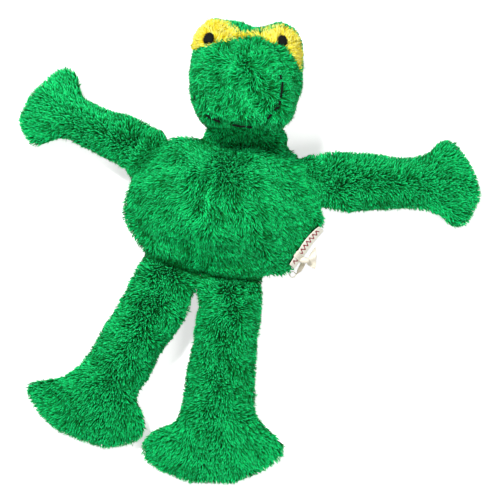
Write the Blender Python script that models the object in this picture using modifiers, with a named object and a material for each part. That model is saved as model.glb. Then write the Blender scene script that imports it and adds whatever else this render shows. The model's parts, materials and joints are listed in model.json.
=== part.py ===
"""Plush frog toy, lying on its back with its limbs spread, in metres, +Z up.

The toy is cut from green pile cloth. A body, a head, two arms and two legs are each sewn from
panels round a stuffing of their own. The head and the limbs are sewn on along straight seams, and
they fold about those seams. The eyes are one band of yellow cloth with a felt pupil on each side.
Two ribbon labels are caught in the side seam by the right hip.

The origin is where the back rests on the floor, under the middle of the body. +X runs to the
right and +Y up to the crown of the head, as a person sees the toy who looks down on its belly.
Left and right in the names are that person's.
"""

import math

import bmesh
import bpy
from mathutils import Matrix, Vector

# Cloth, seams and clearances
CLOTH = 0.0022
SEAM_ALLOWANCE = 0.0050
SEAM_GAP = 0.0003
FILL_GAP = 0.0006
FOLD_GAP = 0.0004
EDGE_THICKNESS = 0.0010

# Body, whose side seam lies level above the floor
SEAM_HEIGHT = 0.030
BODY_HALF_WIDTH = 0.0835
BODY_HALF_LENGTH = 0.0575
BELLY_RISE = 0.0445
BACK_DEPTH = 0.0306
BELLY_SEAM_X = -0.0085
BELLY_SEAM_TILT = math.radians(10.6)

# Sewn edges: the middle of each, the way its limb leads from it, and its width
NECK_PLACE = (0.0207, 0.0582)
NECK_HEADING = math.radians(89.0)
NECK_WIDTH = 0.058
HIP_PLACE = (-0.0165, -0.0487)
HIP_HEADING = math.radians(-99.2)
HIP_SPLIT = 0.0028
LEG_ROOT_WIDTH = 0.0500
LEFT_SHOULDER_PLACE = (-0.0626, 0.0427)
LEFT_SHOULDER_HEADING = math.radians(139.0)
LEFT_ARM_ROOT_WIDTH = 0.0410
RIGHT_SHOULDER_PLACE = (0.0773, 0.0239)
RIGHT_SHOULDER_HEADING = math.radians(18.4)
RIGHT_ARM_ROOT_WIDTH = 0.0440

# Limbs: length from the seam to the tip, usual width, half thickness and slope down to the floor
LEFT_ARM_LENGTH = 0.1145
RIGHT_ARM_LENGTH = 0.1330
ARM_WIDTH = 0.042
ARM_HALF_THICKNESS = 0.0175
LEFT_ARM_DROOP = math.radians(11.68)
RIGHT_ARM_DROOP = math.radians(10.12)
LEFT_LEG_LENGTH = 0.1640
RIGHT_LEG_LENGTH = 0.1815
LEG_WIDTH = 0.054
LEG_HALF_THICKNESS = 0.0200
LEFT_LEG_DROOP = math.radians(7.2)
RIGHT_LEG_DROOP = math.radians(6.68)

# Width of the cutters, which pass every form at its ends
CUT_REACH = 2 * (BODY_HALF_WIDTH + RIGHT_LEG_LENGTH)

# Head, in its own frame: x across, y up to the crown, z forward to the face
HEAD_HALF_WIDTH = 0.0475
HEAD_HEIGHT = 0.1000
HEAD_DEPTH = 0.0900
EYE_RISE = 0.0130
EYE_BULGE = 0.0065
BACK_SEAM_SLOPE = math.radians(6.0)
MOUTH_SIDE_HEIGHT = 0.052
MOUTH_SIDE_FORWARD = 0.016
MOUTH_SLOPE = math.radians(34.0)
LID_PEAK = (0.004, 0.0853)
LEFT_LID_SLOPE = math.radians(19.0)
RIGHT_LID_SLOPE = math.radians(30.0)
PUPIL_RADIUS = 0.0042
PUPIL_THICKNESS = 0.0016
PUPIL_SINK = 0.0010
LEFT_PUPIL_PLACE = (-0.0290, 0.0800)
RIGHT_PUPIL_PLACE = (0.0300, 0.0765)
MOUTH_THREAD_RADIUS = 0.0006
MOUTH_POINTS = 15
MOUTH_SWEEP = math.radians(196.0)

# Labels, sewn into the side seam by the right hip
LABEL_PLACE = (0.0742, -0.0381)
LABEL_HEADING = math.radians(-38.5)
LABEL_THICKNESS = 0.0008
WOVEN_LABEL_LENGTH = 0.0400
WOVEN_LABEL_WIDTH = 0.0120
WOVEN_LABEL_LEAN = math.radians(112.0)
CARE_LABEL_LENGTH = 0.0240
CARE_LABEL_WIDTH = 0.0150
CARE_LABEL_SHIFT = 0.0060
CARE_LABEL_LEAN = math.radians(-48.0)
KNOT_RADIUS = 0.0034

# Outline of the body between its sewn edges, as shares of its half width and half length
SHOULDER_SLOPE_SHARES = [(-0.38, 1.03)]
LEFT_SIDE_SHARES = [(-0.995, 0.10), (-0.975, -0.30)]
RIGHT_HIP_SHARES = [(0.70, -0.95), (0.90, -0.66), (1.005, -0.28)]

# Swell of a panel from its seam in to its middle: share of the outline, share of the rise
SWELL_SHARES = [(0.80, 0.36), (0.53, 0.82), (0.25, 1.00)]
INNER_SWELL_SHARES = [(0.72, 0.56), (0.34, 0.97)]

# Section of a limb and of its hollow: share of the way across, share of the rise
LIMB_SECTION_SHARES = [(0.17, 0.78), (0.50, 1.06), (0.83, 0.78)]
HOLLOW_SECTION_SHARES = [(0.50, 1.22)]

# Where the hollow of a limb starts and ends, as shares of its first and last rows' spacing
ROOT_SOLID_SHARE = 0.50
TIP_SOLID_SHARE = 0.55

# Outlines of the limbs from root to tip. Each row holds one edge and the other, each as a share
# of the length and a share of the width, then the front rise and the back depth as shares.
LEFT_ARM_SHARES = [
    ((0.24, -0.48), (0.12, 0.45), 0.78, 0.76),
    ((0.38, -0.31), (0.26, 0.55), 1.00, 0.98),
    ((0.49, -0.17), (0.43, 0.69), 0.94, 0.94),
    ((0.61, -0.08), (0.55, 0.74), 0.80, 0.88),
    ((0.81, -0.37), (0.64, 1.07), 0.60, 0.79),
    ((0.93, -0.43), (0.69, 1.36), 0.50, 0.70),
    ((0.99, -0.02), (0.80, 1.30), 0.42, 0.60),
    ((1.00, 0.47), (0.92, 1.12), 0.10, 0.28),
]
RIGHT_ARM_SHARES = [
    ((0.16, 0.42), (0.05, -0.62), 0.74, 0.72),
    ((0.35, 0.25), (0.23, -0.84), 1.00, 0.98),
    ((0.53, -0.02), (0.42, -1.02), 0.96, 0.94),
    ((0.69, -0.17), (0.57, -1.20), 0.84, 0.84),
    ((0.86, -0.02), (0.68, -1.50), 0.62, 0.74),
    ((0.96, -0.10), (0.75, -1.83), 0.52, 0.64),
    ((1.00, -0.60), (0.87, -1.80), 0.44, 0.52),
    ((1.01, -1.10), (0.98, -1.42), 0.12, 0.20),
]
LEFT_LEG_SHARES = [
    ((0.16, -0.57), (0.28, 0.33), 0.88, 0.86),
    ((0.38, -0.81), (0.47, 0.04), 1.00, 0.96),
    ((0.57, -1.01), (0.68, -0.13), 0.90, 0.90),
    ((0.64, -1.18), (0.73, -0.15), 0.80, 0.86),
    ((0.70, -1.54), (0.78, -0.05), 0.66, 0.80),
    ((0.76, -1.92), (0.87, 0.09), 0.56, 0.70),
    ((0.87, -1.80), (0.96, -0.03), 0.48, 0.60),
    ((0.97, -1.32), (1.01, -0.50), 0.12, 0.26),
]
RIGHT_LEG_SHARES = [
    ((0.15, -0.43), (0.12, 0.45), 0.88, 0.86),
    ((0.29, -0.43), (0.25, 0.49), 1.00, 0.96),
    ((0.48, -0.41), (0.43, 0.53), 0.94, 0.92),
    ((0.65, -0.40), (0.59, 0.60), 0.84, 0.86),
    ((0.76, -0.70), (0.69, 0.87), 0.68, 0.78),
    ((0.86, -1.05), (0.76, 1.20), 0.58, 0.70),
    ((0.95, -0.95), (0.85, 1.20), 0.48, 0.60),
    ((1.01, -0.30), (0.97, 0.60), 0.14, 0.26),
]

# Side profile of the head from the neck edge round the back, the crown and the face, as shares
# of its height and depth, and how much of the eye's swelling each point takes
HEAD_PROFILE_SHARES = [
    (0.11, 0.13, 0.0),
    (0.30, -0.006, 0.0),
    (0.62, -0.006, 0.0),
    (0.85, 0.12, 0.2),
    (0.935, 0.34, 1.0),
    (0.90, 0.58, 1.0),
    (0.73, 0.76, 0.9),
    (0.50, 0.90, 0.1),
    (0.22, 1.04, 0.0),
    (-0.02, 0.94, 0.0),
    (0.05, 0.62, 0.0),
]
HEAD_CENTRE_SHARES = (0.54, 0.42)

# Stations across the head: share of the half width, scales of the profile's height and depth,
# and share of the eye's swelling
HEAD_STATION_SHARES = [
    (-1.00, 0.50, 0.50, 0.0),
    (-0.90, 0.80, 0.80, 0.5),
    (-0.60, 1.00, 1.00, 1.0),
    (0.06, 1.00, 1.02, 0.0),
    (0.56, 1.00, 1.00, 0.75),
    (0.90, 0.80, 0.80, 0.4),
    (1.00, 0.50, 0.50, 0.0),
]
HEAD_POLE_SHARE = 1.03

# Colour, roughness and metallic value of each cloth
MATERIALS = {
    "green_pile": ((0.012, 0.295, 0.070), 0.95, 0.0),
    "green_pile_back": ((0.010, 0.240, 0.056), 0.95, 0.0),
    "yellow_pile": ((0.900, 0.760, 0.080), 0.95, 0.0),
    "black_felt": ((0.008, 0.010, 0.008), 0.90, 0.0),
    "black_thread": ((0.010, 0.012, 0.010), 0.70, 0.0),
    "white_filling": ((0.800, 0.800, 0.780), 0.95, 0.0),
    "cream_ribbon": ((0.830, 0.780, 0.640), 0.80, 0.0),
}


def clear_scene():
    for obj in list(bpy.data.objects):
        bpy.data.objects.remove(obj, do_unlink=True)


def new_collection(name):
    collection = bpy.data.collections.new(name)
    bpy.context.scene.collection.children.link(collection)
    return collection


def material(name):
    colour, roughness, metallic = MATERIALS[name]
    mat = bpy.data.materials.get(name) or bpy.data.materials.new(name)
    mat.use_nodes = True
    shader = mat.node_tree.nodes["Principled BSDF"]
    shader.inputs["Base Color"].default_value = (*colour, 1.0)
    shader.inputs["Roughness"].default_value = roughness
    shader.inputs["Metallic"].default_value = metallic
    return mat


def axis_frame(name, place, heading, droop, collection):
    """Empty on a sewn edge: its x leads out along the limb, its y lies along the edge."""
    empty = bpy.data.objects.new(name, None)
    turn = Matrix.Rotation(heading, 4, "Z") @ Matrix.Rotation(droop, 4, "Y")
    empty.matrix_world = Matrix.Translation((*place, SEAM_HEIGHT)) @ turn
    collection.objects.link(empty)
    return empty


def place_object(name, mesh, collection, frame=None, paint=None):
    obj = bpy.data.objects.new(name, mesh)
    collection.objects.link(obj)
    obj.parent = frame
    if paint:
        mesh.materials.clear()
        mesh.materials.append(material(paint))
    return obj


def ring_stack(name, rings, first_pole, last_pole, is_sharp):
    """Closed cage through rings of points, each end closed by a point or by one face."""
    bm = bmesh.new()
    crease = bm.edges.layers.float.new("crease_edge")
    loops = [[bm.verts.new(point) for point in ring] for ring in rings]
    count = len(rings[0])
    for low, high in zip(loops, loops[1:]):
        for i in range(count):
            j = (i + 1) % count
            bm.faces.new((low[i], low[j], high[j], high[i]))
    for loop, pole in ((loops[0], first_pole), (loops[-1], last_pole)):
        if pole is None:
            bm.faces.new(loop)
            continue
        tip = bm.verts.new(pole)
        for i in range(count):
            bm.faces.new((loop[i], loop[(i + 1) % count], tip))
    sharp = {loops[r][i] for r in range(len(rings)) for i in range(count) if is_sharp(r, i)}
    for edge in bm.edges:
        edge[crease] = 1.0 if edge.verts[0] in sharp and edge.verts[1] in sharp else 0.0
    bmesh.ops.recalc_face_normals(bm, faces=bm.faces[:])
    mesh = bpy.data.meshes.new(name)
    bm.to_mesh(mesh)
    bm.free()
    return mesh


def soften(obj):
    """Round a coarse cage into a smooth swelling form, with each quad split the same way."""
    obj.data.shade_smooth()
    rounding = obj.modifiers.new("rounding", "SUBSURF")
    rounding.levels = 1
    rounding.render_levels = 1
    facets = obj.modifiers.new("facets", "TRIANGULATE")
    facets.quad_method = "FIXED"
    return obj


def stuffing(name, hollow, collection):
    """Filling of a hollow, drawn in from it by the filling's clearance."""
    obj = place_object(name, hollow.data.copy(), collection, hollow.parent, "white_filling")
    soften(obj)
    draw_in = obj.modifiers.new("clearance", "DISPLACE")
    draw_in.mid_level = 0
    draw_in.strength = -FILL_GAP
    return obj


def cut(obj, cutter, operation="DIFFERENCE"):
    boolean = obj.modifiers.new("cut_" + cutter.name, "BOOLEAN")
    boolean.operation = operation
    boolean.object = cutter
    return obj


def as_cutter(obj):
    obj.hide_render = True
    obj.display_type = "WIRE"
    return obj


def prism(name, outline, low, high, cutters, frame=None):
    """Straight-sided cutter: an outline across x and y, from z low to z high."""
    bm = bmesh.new()
    face = bm.faces.new([bm.verts.new((x, y, low)) for x, y in outline])
    top = bmesh.ops.extrude_face_region(bm, geom=[face])["geom"]
    moved = [item for item in top if isinstance(item, bmesh.types.BMVert)]
    bmesh.ops.translate(bm, verts=moved, vec=(0, 0, high - low))
    bmesh.ops.recalc_face_normals(bm, faces=bm.faces[:])
    mesh = bpy.data.meshes.new(name)
    bm.to_mesh(mesh)
    bm.free()
    return as_cutter(place_object(name, mesh, cutters, frame))


def half_space(name, point, turn, cutters, frame=None):
    """Box cutter that fills the side below its own z, from a point on the cutting plane."""
    half = CUT_REACH / 2
    square = [(-half, -half), (half, -half), (half, half), (-half, half)]
    box = prism(name, square, -half, 0, cutters, frame)
    box.matrix_local = Matrix.Translation(point) @ turn
    return box


def panel(name, form, hollow, cutters, collection, paint):
    """Sewn cloth panel: the part of a form outside its hollow that the cutters leave."""
    obj = place_object(name, form.data.copy(), collection, form.parent, paint)
    soften(obj)
    cut(obj, hollow)
    for cutter in cutters:
        cut(obj, cutter)
    return obj


def edge_points(place, heading, width):
    """Ends and middle of a sewn edge, the end on the left of its heading last."""
    along = Vector((-math.sin(heading), math.cos(heading)))
    middle = Vector(place)
    return [middle - along * (width / 2), middle, middle + along * (width / 2)]


def leg_place(side):
    """Middle of one leg's sewn edge on the line that both legs share."""
    along = Vector((-math.sin(HIP_HEADING), math.cos(HIP_HEADING)))
    return Vector(HIP_PLACE) + along * (side * (LEG_ROOT_WIDTH + HIP_SPLIT) / 2)


def body_outline():
    """Seam line of the body, counterclockwise from the right of the neck."""

    def scaled(shares):
        return [Vector((x * BODY_HALF_WIDTH, y * BODY_HALF_LENGTH)) for x, y in shares]

    hips = edge_points(leg_place(-1), HIP_HEADING, LEG_ROOT_WIDTH)[:2]
    hips += edge_points(HIP_PLACE, HIP_HEADING, HIP_SPLIT)[1:2]
    hips += edge_points(leg_place(1), HIP_HEADING, LEG_ROOT_WIDTH)[1:]
    return (
        edge_points(NECK_PLACE, NECK_HEADING, NECK_WIDTH)
        + scaled(SHOULDER_SLOPE_SHARES)
        + edge_points(LEFT_SHOULDER_PLACE, LEFT_SHOULDER_HEADING, LEFT_ARM_ROOT_WIDTH)
        + scaled(LEFT_SIDE_SHARES)
        + hips
        + scaled(RIGHT_HIP_SHARES)
        + edge_points(RIGHT_SHOULDER_PLACE, RIGHT_SHOULDER_HEADING, RIGHT_ARM_ROOT_WIDTH)
    )


def body_mesh(name, swell_shares, inner=False):
    """Cushion form of the body. Its inner form is plainer, with half the outline's points."""
    outline = body_outline()[:: 2 if inner else 1]
    draw_in = 1 - (SEAM_ALLOWANCE / BODY_HALF_LENGTH if inner else 0)
    front = BELLY_RISE - (CLOTH if inner else 0)
    back = BACK_DEPTH - (CLOTH if inner else 0)

    def ring(share, height):
        return [Vector((p.x * share * draw_in, p.y * share * draw_in, height)) for p in outline]

    rings = [ring(share, SEAM_HEIGHT - rise * back) for share, rise in reversed(swell_shares)]
    rings.append(ring(1, SEAM_HEIGHT))
    rings += [ring(share, SEAM_HEIGHT + rise * front) for share, rise in swell_shares]
    poles = (0, 0, SEAM_HEIGHT - back), (0, 0, SEAM_HEIGHT + front)
    seam = len(swell_shares)
    return ring_stack(name, rings, *poles, lambda r, i: r == seam)


def limb_rows(shares, length, width, half_thickness, root_width):
    """Edges and heights of a limb at each of its rows, from the thin sewn edge to the tip."""
    side = math.copysign(root_width / 2, shares[0][0][1])
    flat = EDGE_THICKNESS / 2
    rows = [(Vector((FOLD_GAP, side, 0)), Vector((FOLD_GAP, -side, 0)), flat, flat)]
    for (x1, y1), (x2, y2), front, back in shares:
        one = Vector((x1 * length, y1 * width, 0))
        other = Vector((x2 * length, y2 * width, 0))
        rows.append((one, other, front * half_thickness, back * half_thickness))
    return rows


def mixed_row(row, other, share):
    points = [a.lerp(b, share) for a, b in zip(row[:2], other[:2])]
    return (*points, *(a + (b - a) * share for a, b in zip(row[2:], other[2:])))


def section_ring(one, other, front, back, section):
    """Ring of a limb at one row, from one edge over the front to the other and back under."""
    across = other - one
    up = Vector((0, 0, 1))
    upper = [one + across * share + up * (rise * front) for share, rise in section]
    lower = [one + across * share - up * (rise * back) for share, rise in reversed(section)]
    return [one, *upper, other, *lower]


def limb_mesh(name, rows):
    """Form of a limb through its rows, with sharp sewn edges all round its outline."""
    rings = [section_ring(*row, LIMB_SECTION_SHARES) for row in rows]
    seams = (0, len(LIMB_SECTION_SHARES) + 1)
    ends = (0, len(rings) - 1)
    return ring_stack(name, rings, None, None, lambda r, i: i in seams or r in ends)


def limb_hollow_mesh(name, rows):
    """Plainer inner form of a limb, through every other row and inside the cloth."""
    rows = rows[:]
    rows[0] = mixed_row(rows[0], rows[1], ROOT_SOLID_SHARE)
    rows[-1] = mixed_row(rows[-1], rows[-2], TIP_SOLID_SHARE)
    rings = []
    for one, other, front, back in rows[::2]:
        step = (other - one).normalized() * SEAM_ALLOWANCE
        inner = (one + step, other - step, front - CLOTH, back - CLOTH)
        rings.append(section_ring(*inner, HOLLOW_SECTION_SHARES))
    seams = (0, len(HOLLOW_SECTION_SHARES) + 1)
    return ring_stack(name, rings, None, None, lambda r, i: i in seams)


def head_mesh(name, inner=False):
    """Form of the head through stations across it. Its inner form has half the points."""
    inset = CLOTH if inner else 0
    profile = HEAD_PROFILE_SHARES[1::2] if inner else HEAD_PROFILE_SHARES
    height = HEAD_HEIGHT - inset * 2
    depth = HEAD_DEPTH - inset * 2
    half_width = HEAD_HALF_WIDTH - inset
    centre_y = HEAD_CENTRE_SHARES[0] * HEAD_HEIGHT
    centre_z = HEAD_CENTRE_SHARES[1] * HEAD_DEPTH
    neck_start = FOLD_GAP + (SEAM_ALLOWANCE * 2 if inner else 0)
    rings = []
    for place, tall, deep, eye in HEAD_STATION_SHARES:
        low = centre_y + (neck_start - centre_y) * tall
        ring = [Vector((place * half_width, low, 0))]
        for y_share, z_share, swell in profile:
            y = (y_share - HEAD_CENTRE_SHARES[0]) * height * tall + EYE_RISE * swell * eye
            z = (z_share - HEAD_CENTRE_SHARES[1]) * depth * deep
            z += EYE_BULGE * swell * eye * max(0, z_share)
            ring.append(Vector((place * half_width, centre_y + y, centre_z + z - SEAM_HEIGHT)))
        rings.append(ring)
    poles = [
        (side * HEAD_POLE_SHARE * half_width, centre_y, centre_z - SEAM_HEIGHT)
        for side in (-1, 1)
    ]
    neck_stations = [r for r, row in enumerate(HEAD_STATION_SHARES) if row[1] == 1]
    return ring_stack(name, rings, *poles, lambda r, i: i == 0 and r in neck_stations)


def make_body(parts, cutters, floor):
    form = as_cutter(place_object("body_form", body_mesh("body_form", SWELL_SHARES), cutters))
    inner = body_mesh("body_hollow", INNER_SWELL_SHARES, inner=True)
    hollow = as_cutter(soften(place_object("body_hollow", inner, cutters)))
    stuffing("body_stuffing", hollow, parts)

    seam = Vector((0, 0, SEAM_HEIGHT))
    half_gap = Vector((0, 0, SEAM_GAP / 2))
    below = half_space("below_side_seam", seam + half_gap, Matrix(), cutters)
    flip = Matrix.Rotation(math.pi, 4, "X")
    above = half_space("above_side_seam", seam - half_gap, flip, cutters)

    lean = Matrix.Rotation(-BELLY_SEAM_TILT, 4, "Z")
    sideways = Vector((SEAM_GAP / 2, 0, 0))
    middle = Vector((BELLY_SEAM_X, 0, SEAM_HEIGHT))
    to_left = lean @ Matrix.Rotation(math.pi / 2, 4, "Y")
    to_right = lean @ Matrix.Rotation(-math.pi / 2, 4, "Y")
    left_of = half_space("left_of_belly_seam", middle + sideways, to_left, cutters)
    right_of = half_space("right_of_belly_seam", middle - sideways, to_right, cutters)
    panel("belly_left_panel", form, hollow, [below, right_of], parts, "green_pile")
    panel("belly_right_panel", form, hollow, [below, left_of], parts, "green_pile")
    panel("back_panel", form, hollow, [above, floor], parts, "green_pile_back")


def make_limb(name, frame, rows, parts, cutters, floor):
    """Front panel, back panel and stuffing of one limb, in the frame of its sewn edge."""
    form = as_cutter(place_object(name + "_form", limb_mesh(name + "_form", rows), cutters, frame))
    inner = limb_hollow_mesh(name + "_hollow", rows)
    hollow = as_cutter(soften(place_object(name + "_hollow", inner, cutters, frame)))
    stuffing(name + "_stuffing", hollow, parts)

    half_gap = Vector((0, 0, SEAM_GAP / 2))
    below = half_space(name + "_below_seam", half_gap, Matrix(), cutters, frame)
    flip = Matrix.Rotation(math.pi, 4, "X")
    above = half_space(name + "_above_seam", -half_gap, flip, cutters, frame)
    panel(name + "_front_panel", form, hollow, [below], parts, "green_pile")
    panel(name + "_back_panel", form, hollow, [above, floor], parts, "green_pile_back")


def make_limbs(parts, cutters, floor):
    arms = [
        ("left_arm", LEFT_SHOULDER_PLACE, LEFT_SHOULDER_HEADING, LEFT_ARM_DROOP,
         LEFT_ARM_SHARES, LEFT_ARM_LENGTH, LEFT_ARM_ROOT_WIDTH),
        ("right_arm", RIGHT_SHOULDER_PLACE, RIGHT_SHOULDER_HEADING, RIGHT_ARM_DROOP,
         RIGHT_ARM_SHARES, RIGHT_ARM_LENGTH, RIGHT_ARM_ROOT_WIDTH),
    ]
    for name, place, heading, droop, shares, length, root in arms:
        frame = axis_frame(name + "_axis", place, heading, droop, parts)
        rows = limb_rows(shares, length, ARM_WIDTH, ARM_HALF_THICKNESS, root)
        make_limb(name, frame, rows, parts, cutters, floor)
    legs = [
        ("left_leg", -1, LEFT_LEG_DROOP, LEFT_LEG_SHARES, LEFT_LEG_LENGTH),
        ("right_leg", 1, RIGHT_LEG_DROOP, RIGHT_LEG_SHARES, RIGHT_LEG_LENGTH),
    ]
    for name, side, droop, shares, length in legs:
        frame = axis_frame(name + "_axis", leg_place(side), HIP_HEADING, droop, parts)
        rows = limb_rows(shares, length, LEG_WIDTH, LEG_HALF_THICKNESS, LEG_ROOT_WIDTH)
        make_limb(name, frame, rows, parts, cutters, floor)


def lid_prism(name, grow, cutters, frame):
    """Cutter over all of the head that lies below the two eyelids' lower edges."""
    peak_x, peak_y = LID_PEAK
    peak_y += grow
    half = CUT_REACH / 2
    outline = [
        (peak_x, peak_y),
        (peak_x - half, peak_y - half * math.tan(LEFT_LID_SLOPE)),
        (peak_x - half, -half),
        (peak_x + half, -half),
        (peak_x + half, peak_y - half * math.tan(RIGHT_LID_SLOPE)),
    ]
    return prism(name, outline, -half, half, cutters, frame)


def front_point(form, place):
    """Point and outward direction where the head's front lies over a place in its frame."""
    solid = form.evaluated_get(bpy.context.evaluated_depsgraph_get())
    hit, point, normal, _ = solid.ray_cast(Vector((*place, CUT_REACH)), Vector((0, 0, -1)))
    return point, normal


def mouth_route(form):
    """Points along the mouth, where the plane of the mouth meets the head's surface."""
    solid = form.evaluated_get(bpy.context.evaluated_depsgraph_get())
    back = Vector((0, math.cos(MOUTH_SLOPE), -math.sin(MOUTH_SLOPE)))
    centre = Vector((0, MOUTH_SIDE_HEIGHT, MOUTH_SIDE_FORWARD)) - back * (HEAD_HALF_WIDTH / 2)
    route = []
    for i in range(MOUTH_POINTS):
        angle = MOUTH_SWEEP * (i / (MOUTH_POINTS - 1) - 1 / 2)
        outward = -back * math.cos(angle) + Vector((1, 0, 0)) * math.sin(angle)
        hit, point, normal, _ = solid.ray_cast(centre, outward)
        route.append(point)
    return route


def thread(name, route, radius, collection, frame, paint=None):
    """Round thread along a route, as a curve with filled ends."""
    curve = bpy.data.curves.new(name, "CURVE")
    curve.dimensions = "3D"
    curve.bevel_depth = radius
    curve.bevel_resolution = 1
    curve.use_fill_caps = True
    line = curve.splines.new("POLY")
    line.points.add(len(route) - 1)
    for point, place in zip(line.points, route):
        point.co = (*place, 1)
    if paint:
        curve.materials.append(material(paint))
    obj = bpy.data.objects.new(name, curve)
    collection.objects.link(obj)
    obj.parent = frame
    return obj


def meshed(obj, collection):
    """Mesh of a curve object with its ends welded, in place of the curve."""
    bpy.context.view_layer.update()
    solid = obj.evaluated_get(bpy.context.evaluated_depsgraph_get())
    mesh = bpy.data.meshes.new_from_object(solid)
    bm = bmesh.new()
    bm.from_mesh(mesh)
    bmesh.ops.remove_doubles(bm, verts=bm.verts[:], dist=MOUTH_THREAD_RADIUS / 100)
    bm.to_mesh(mesh)
    bm.free()
    name, frame = obj.name, obj.parent
    bpy.data.objects.remove(obj, do_unlink=True)
    return place_object(name, mesh, collection, frame)


def pupil(name, form, place, radius, thickness, collection, paint=None):
    """Felt disc on the front of the eye band, sunk a little into the pile."""
    point, normal = front_point(form, place)
    bm = bmesh.new()
    bmesh.ops.create_cone(
        bm, cap_ends=True, segments=16, radius1=radius, radius2=radius, depth=thickness
    )
    mesh = bpy.data.meshes.new(name)
    bm.to_mesh(mesh)
    bm.free()
    obj = place_object(name, mesh, collection, form.parent, paint)
    lift = PUPIL_THICKNESS / 2 - PUPIL_SINK
    turn = normal.to_track_quat("Z", "Y").to_matrix().to_4x4()
    obj.matrix_local = Matrix.Translation(point + normal * lift) @ turn
    return obj


def make_head(parts, cutters, floor):
    frame = axis_frame("neck_axis", NECK_PLACE, NECK_HEADING - math.pi / 2, 0, parts)
    form = as_cutter(soften(place_object("head_form", head_mesh("head_form"), cutters, frame)))
    inner = head_mesh("head_hollow", inner=True)
    hollow = as_cutter(soften(place_object("head_hollow", inner, cutters, frame)))
    stuffing("head_stuffing", hollow, parts)
    bpy.context.view_layer.update()

    half_gap = SEAM_GAP / 2
    tilt = Matrix.Rotation(BACK_SEAM_SLOPE, 4, "X")
    flip = Matrix.Rotation(math.pi, 4, "X")
    lift = tilt @ Vector((0, 0, half_gap))
    behind = half_space("behind_head_seam", lift, tilt, cutters, frame)
    ahead = half_space("ahead_of_head_seam", -lift, tilt @ flip, cutters, frame)

    drop = Matrix.Rotation(-MOUTH_SLOPE, 4, "X")
    corner = Vector((0, MOUTH_SIDE_HEIGHT, MOUTH_SIDE_FORWARD))
    lift = drop @ Vector((0, 0, half_gap))
    under = half_space("under_mouth", corner + lift, drop, cutters, frame)
    over = half_space("over_mouth", corner - lift, drop @ flip, cutters, frame)
    below_band = lid_prism("below_eye_band", SEAM_GAP, cutters, frame)
    below_lids = lid_prism("below_lids", 0, cutters, frame)

    route = mouth_route(form)
    thread("mouth_thread", route, MOUTH_THREAD_RADIUS, parts, frame, "black_thread")
    groove = thread("mouth_groove", route, MOUTH_THREAD_RADIUS + SEAM_GAP, cutters, frame)
    groove = as_cutter(meshed(groove, cutters))

    panel("head_back_panel", form, hollow, [ahead, floor], parts, "green_pile_back")
    face = panel("face_panel", form, hollow, [behind, under, groove], parts, "green_pile")
    chin = panel("chin_panel", form, hollow, [behind, over, groove], parts, "green_pile")
    cut(face, below_lids, "INTERSECT")
    cut(chin, below_lids, "INTERSECT")
    band = panel("eye_band", form, hollow, [behind, below_band], parts, "yellow_pile")

    for side, place in (("left", LEFT_PUPIL_PLACE), ("right", RIGHT_PUPIL_PLACE)):
        pupil(side + "_pupil", form, place, PUPIL_RADIUS, PUPIL_THICKNESS, parts, "black_felt")
        pocket = pupil(
            side + "_pupil_pocket", form, place, PUPIL_RADIUS + SEAM_GAP,
            PUPIL_THICKNESS + SEAM_GAP * 2, cutters,
        )
        as_cutter(pocket)
        cut(face, pocket)
        cut(band, pocket)


def ribbon(name, outline, frame, parts):
    """Flat woven ribbon in its frame, its outline from the sewn edge outward."""
    curve = bpy.data.curves.new(name, "CURVE")
    curve.dimensions = "2D"
    curve.fill_mode = "BOTH"
    curve.extrude = LABEL_THICKNESS / 2
    line = curve.splines.new("POLY")
    line.points.add(len(outline) - 1)
    for point, (x, y) in zip(line.points, outline):
        point.co = (x, y, 0, 1)
    line.use_cyclic_u = True
    curve.materials.append(material("cream_ribbon"))
    obj = bpy.data.objects.new(name, curve)
    parts.objects.link(obj)
    obj.parent = frame
    return obj


def make_labels(parts, cutters):
    lean = axis_frame("woven_label_axis", LABEL_PLACE, LABEL_HEADING, -WOVEN_LABEL_LEAN, parts)
    half = WOVEN_LABEL_LENGTH / 2
    start = FOLD_GAP
    end = FOLD_GAP + WOVEN_LABEL_WIDTH
    ribbon("woven_label", [(start, -half), (end, -half), (end, half), (start, half)], lean, parts)

    hang = axis_frame("care_label_axis", LABEL_PLACE, LABEL_HEADING, -CARE_LABEL_LEAN, parts)
    low = -CARE_LABEL_SHIFT - CARE_LABEL_LENGTH / 2
    high = -CARE_LABEL_SHIFT + CARE_LABEL_LENGTH / 2
    waist_low = -CARE_LABEL_SHIFT - KNOT_RADIUS / 2
    waist_high = -CARE_LABEL_SHIFT + KNOT_RADIUS / 2
    knot_x = FOLD_GAP + CARE_LABEL_WIDTH / 2
    end = FOLD_GAP + CARE_LABEL_WIDTH
    outline = [
        (FOLD_GAP, low), (knot_x, waist_low), (end, low),
        (end, high), (knot_x, waist_high), (FOLD_GAP, high),
    ]
    flat = ribbon("care_label", outline, hang, parts)
    label = meshed(flat, parts)
    label.data.materials.clear()
    label.data.materials.append(material("cream_ribbon"))
    bm = bmesh.new()
    bmesh.ops.create_uvsphere(bm, u_segments=12, v_segments=8, radius=KNOT_RADIUS)
    mesh = bpy.data.meshes.new("ribbon_knot")
    bm.to_mesh(mesh)
    bm.free()
    knot = as_cutter(place_object("ribbon_knot", mesh, cutters, hang))
    knot.location = (knot_x, -CARE_LABEL_SHIFT, 0)
    cut(label, knot, "UNION")


def main():
    clear_scene()
    parts = new_collection("plush_frog")
    cutters = new_collection("cutters")
    floor = half_space("floor", (0, 0, 0), Matrix(), cutters)
    make_body(parts, cutters, floor)
    make_limbs(parts, cutters, floor)
    make_head(parts, cutters, floor)
    make_labels(parts, cutters)


main()
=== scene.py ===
# %% [markdown]
# # A plush frog with a thick pile
# The toy is a stuffed frog that lies on its back, seen from straight above. Its plain solids are
# already made and packed, and this lesson dresses them. What a person sees of such a toy is almost
# only pile: thousands of soft strands that stand on a knitted backing. So most of the work is to
# grow a pile as real, thin meshes, panel by panel, and to comb it the way the toy's cloth lies.

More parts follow.
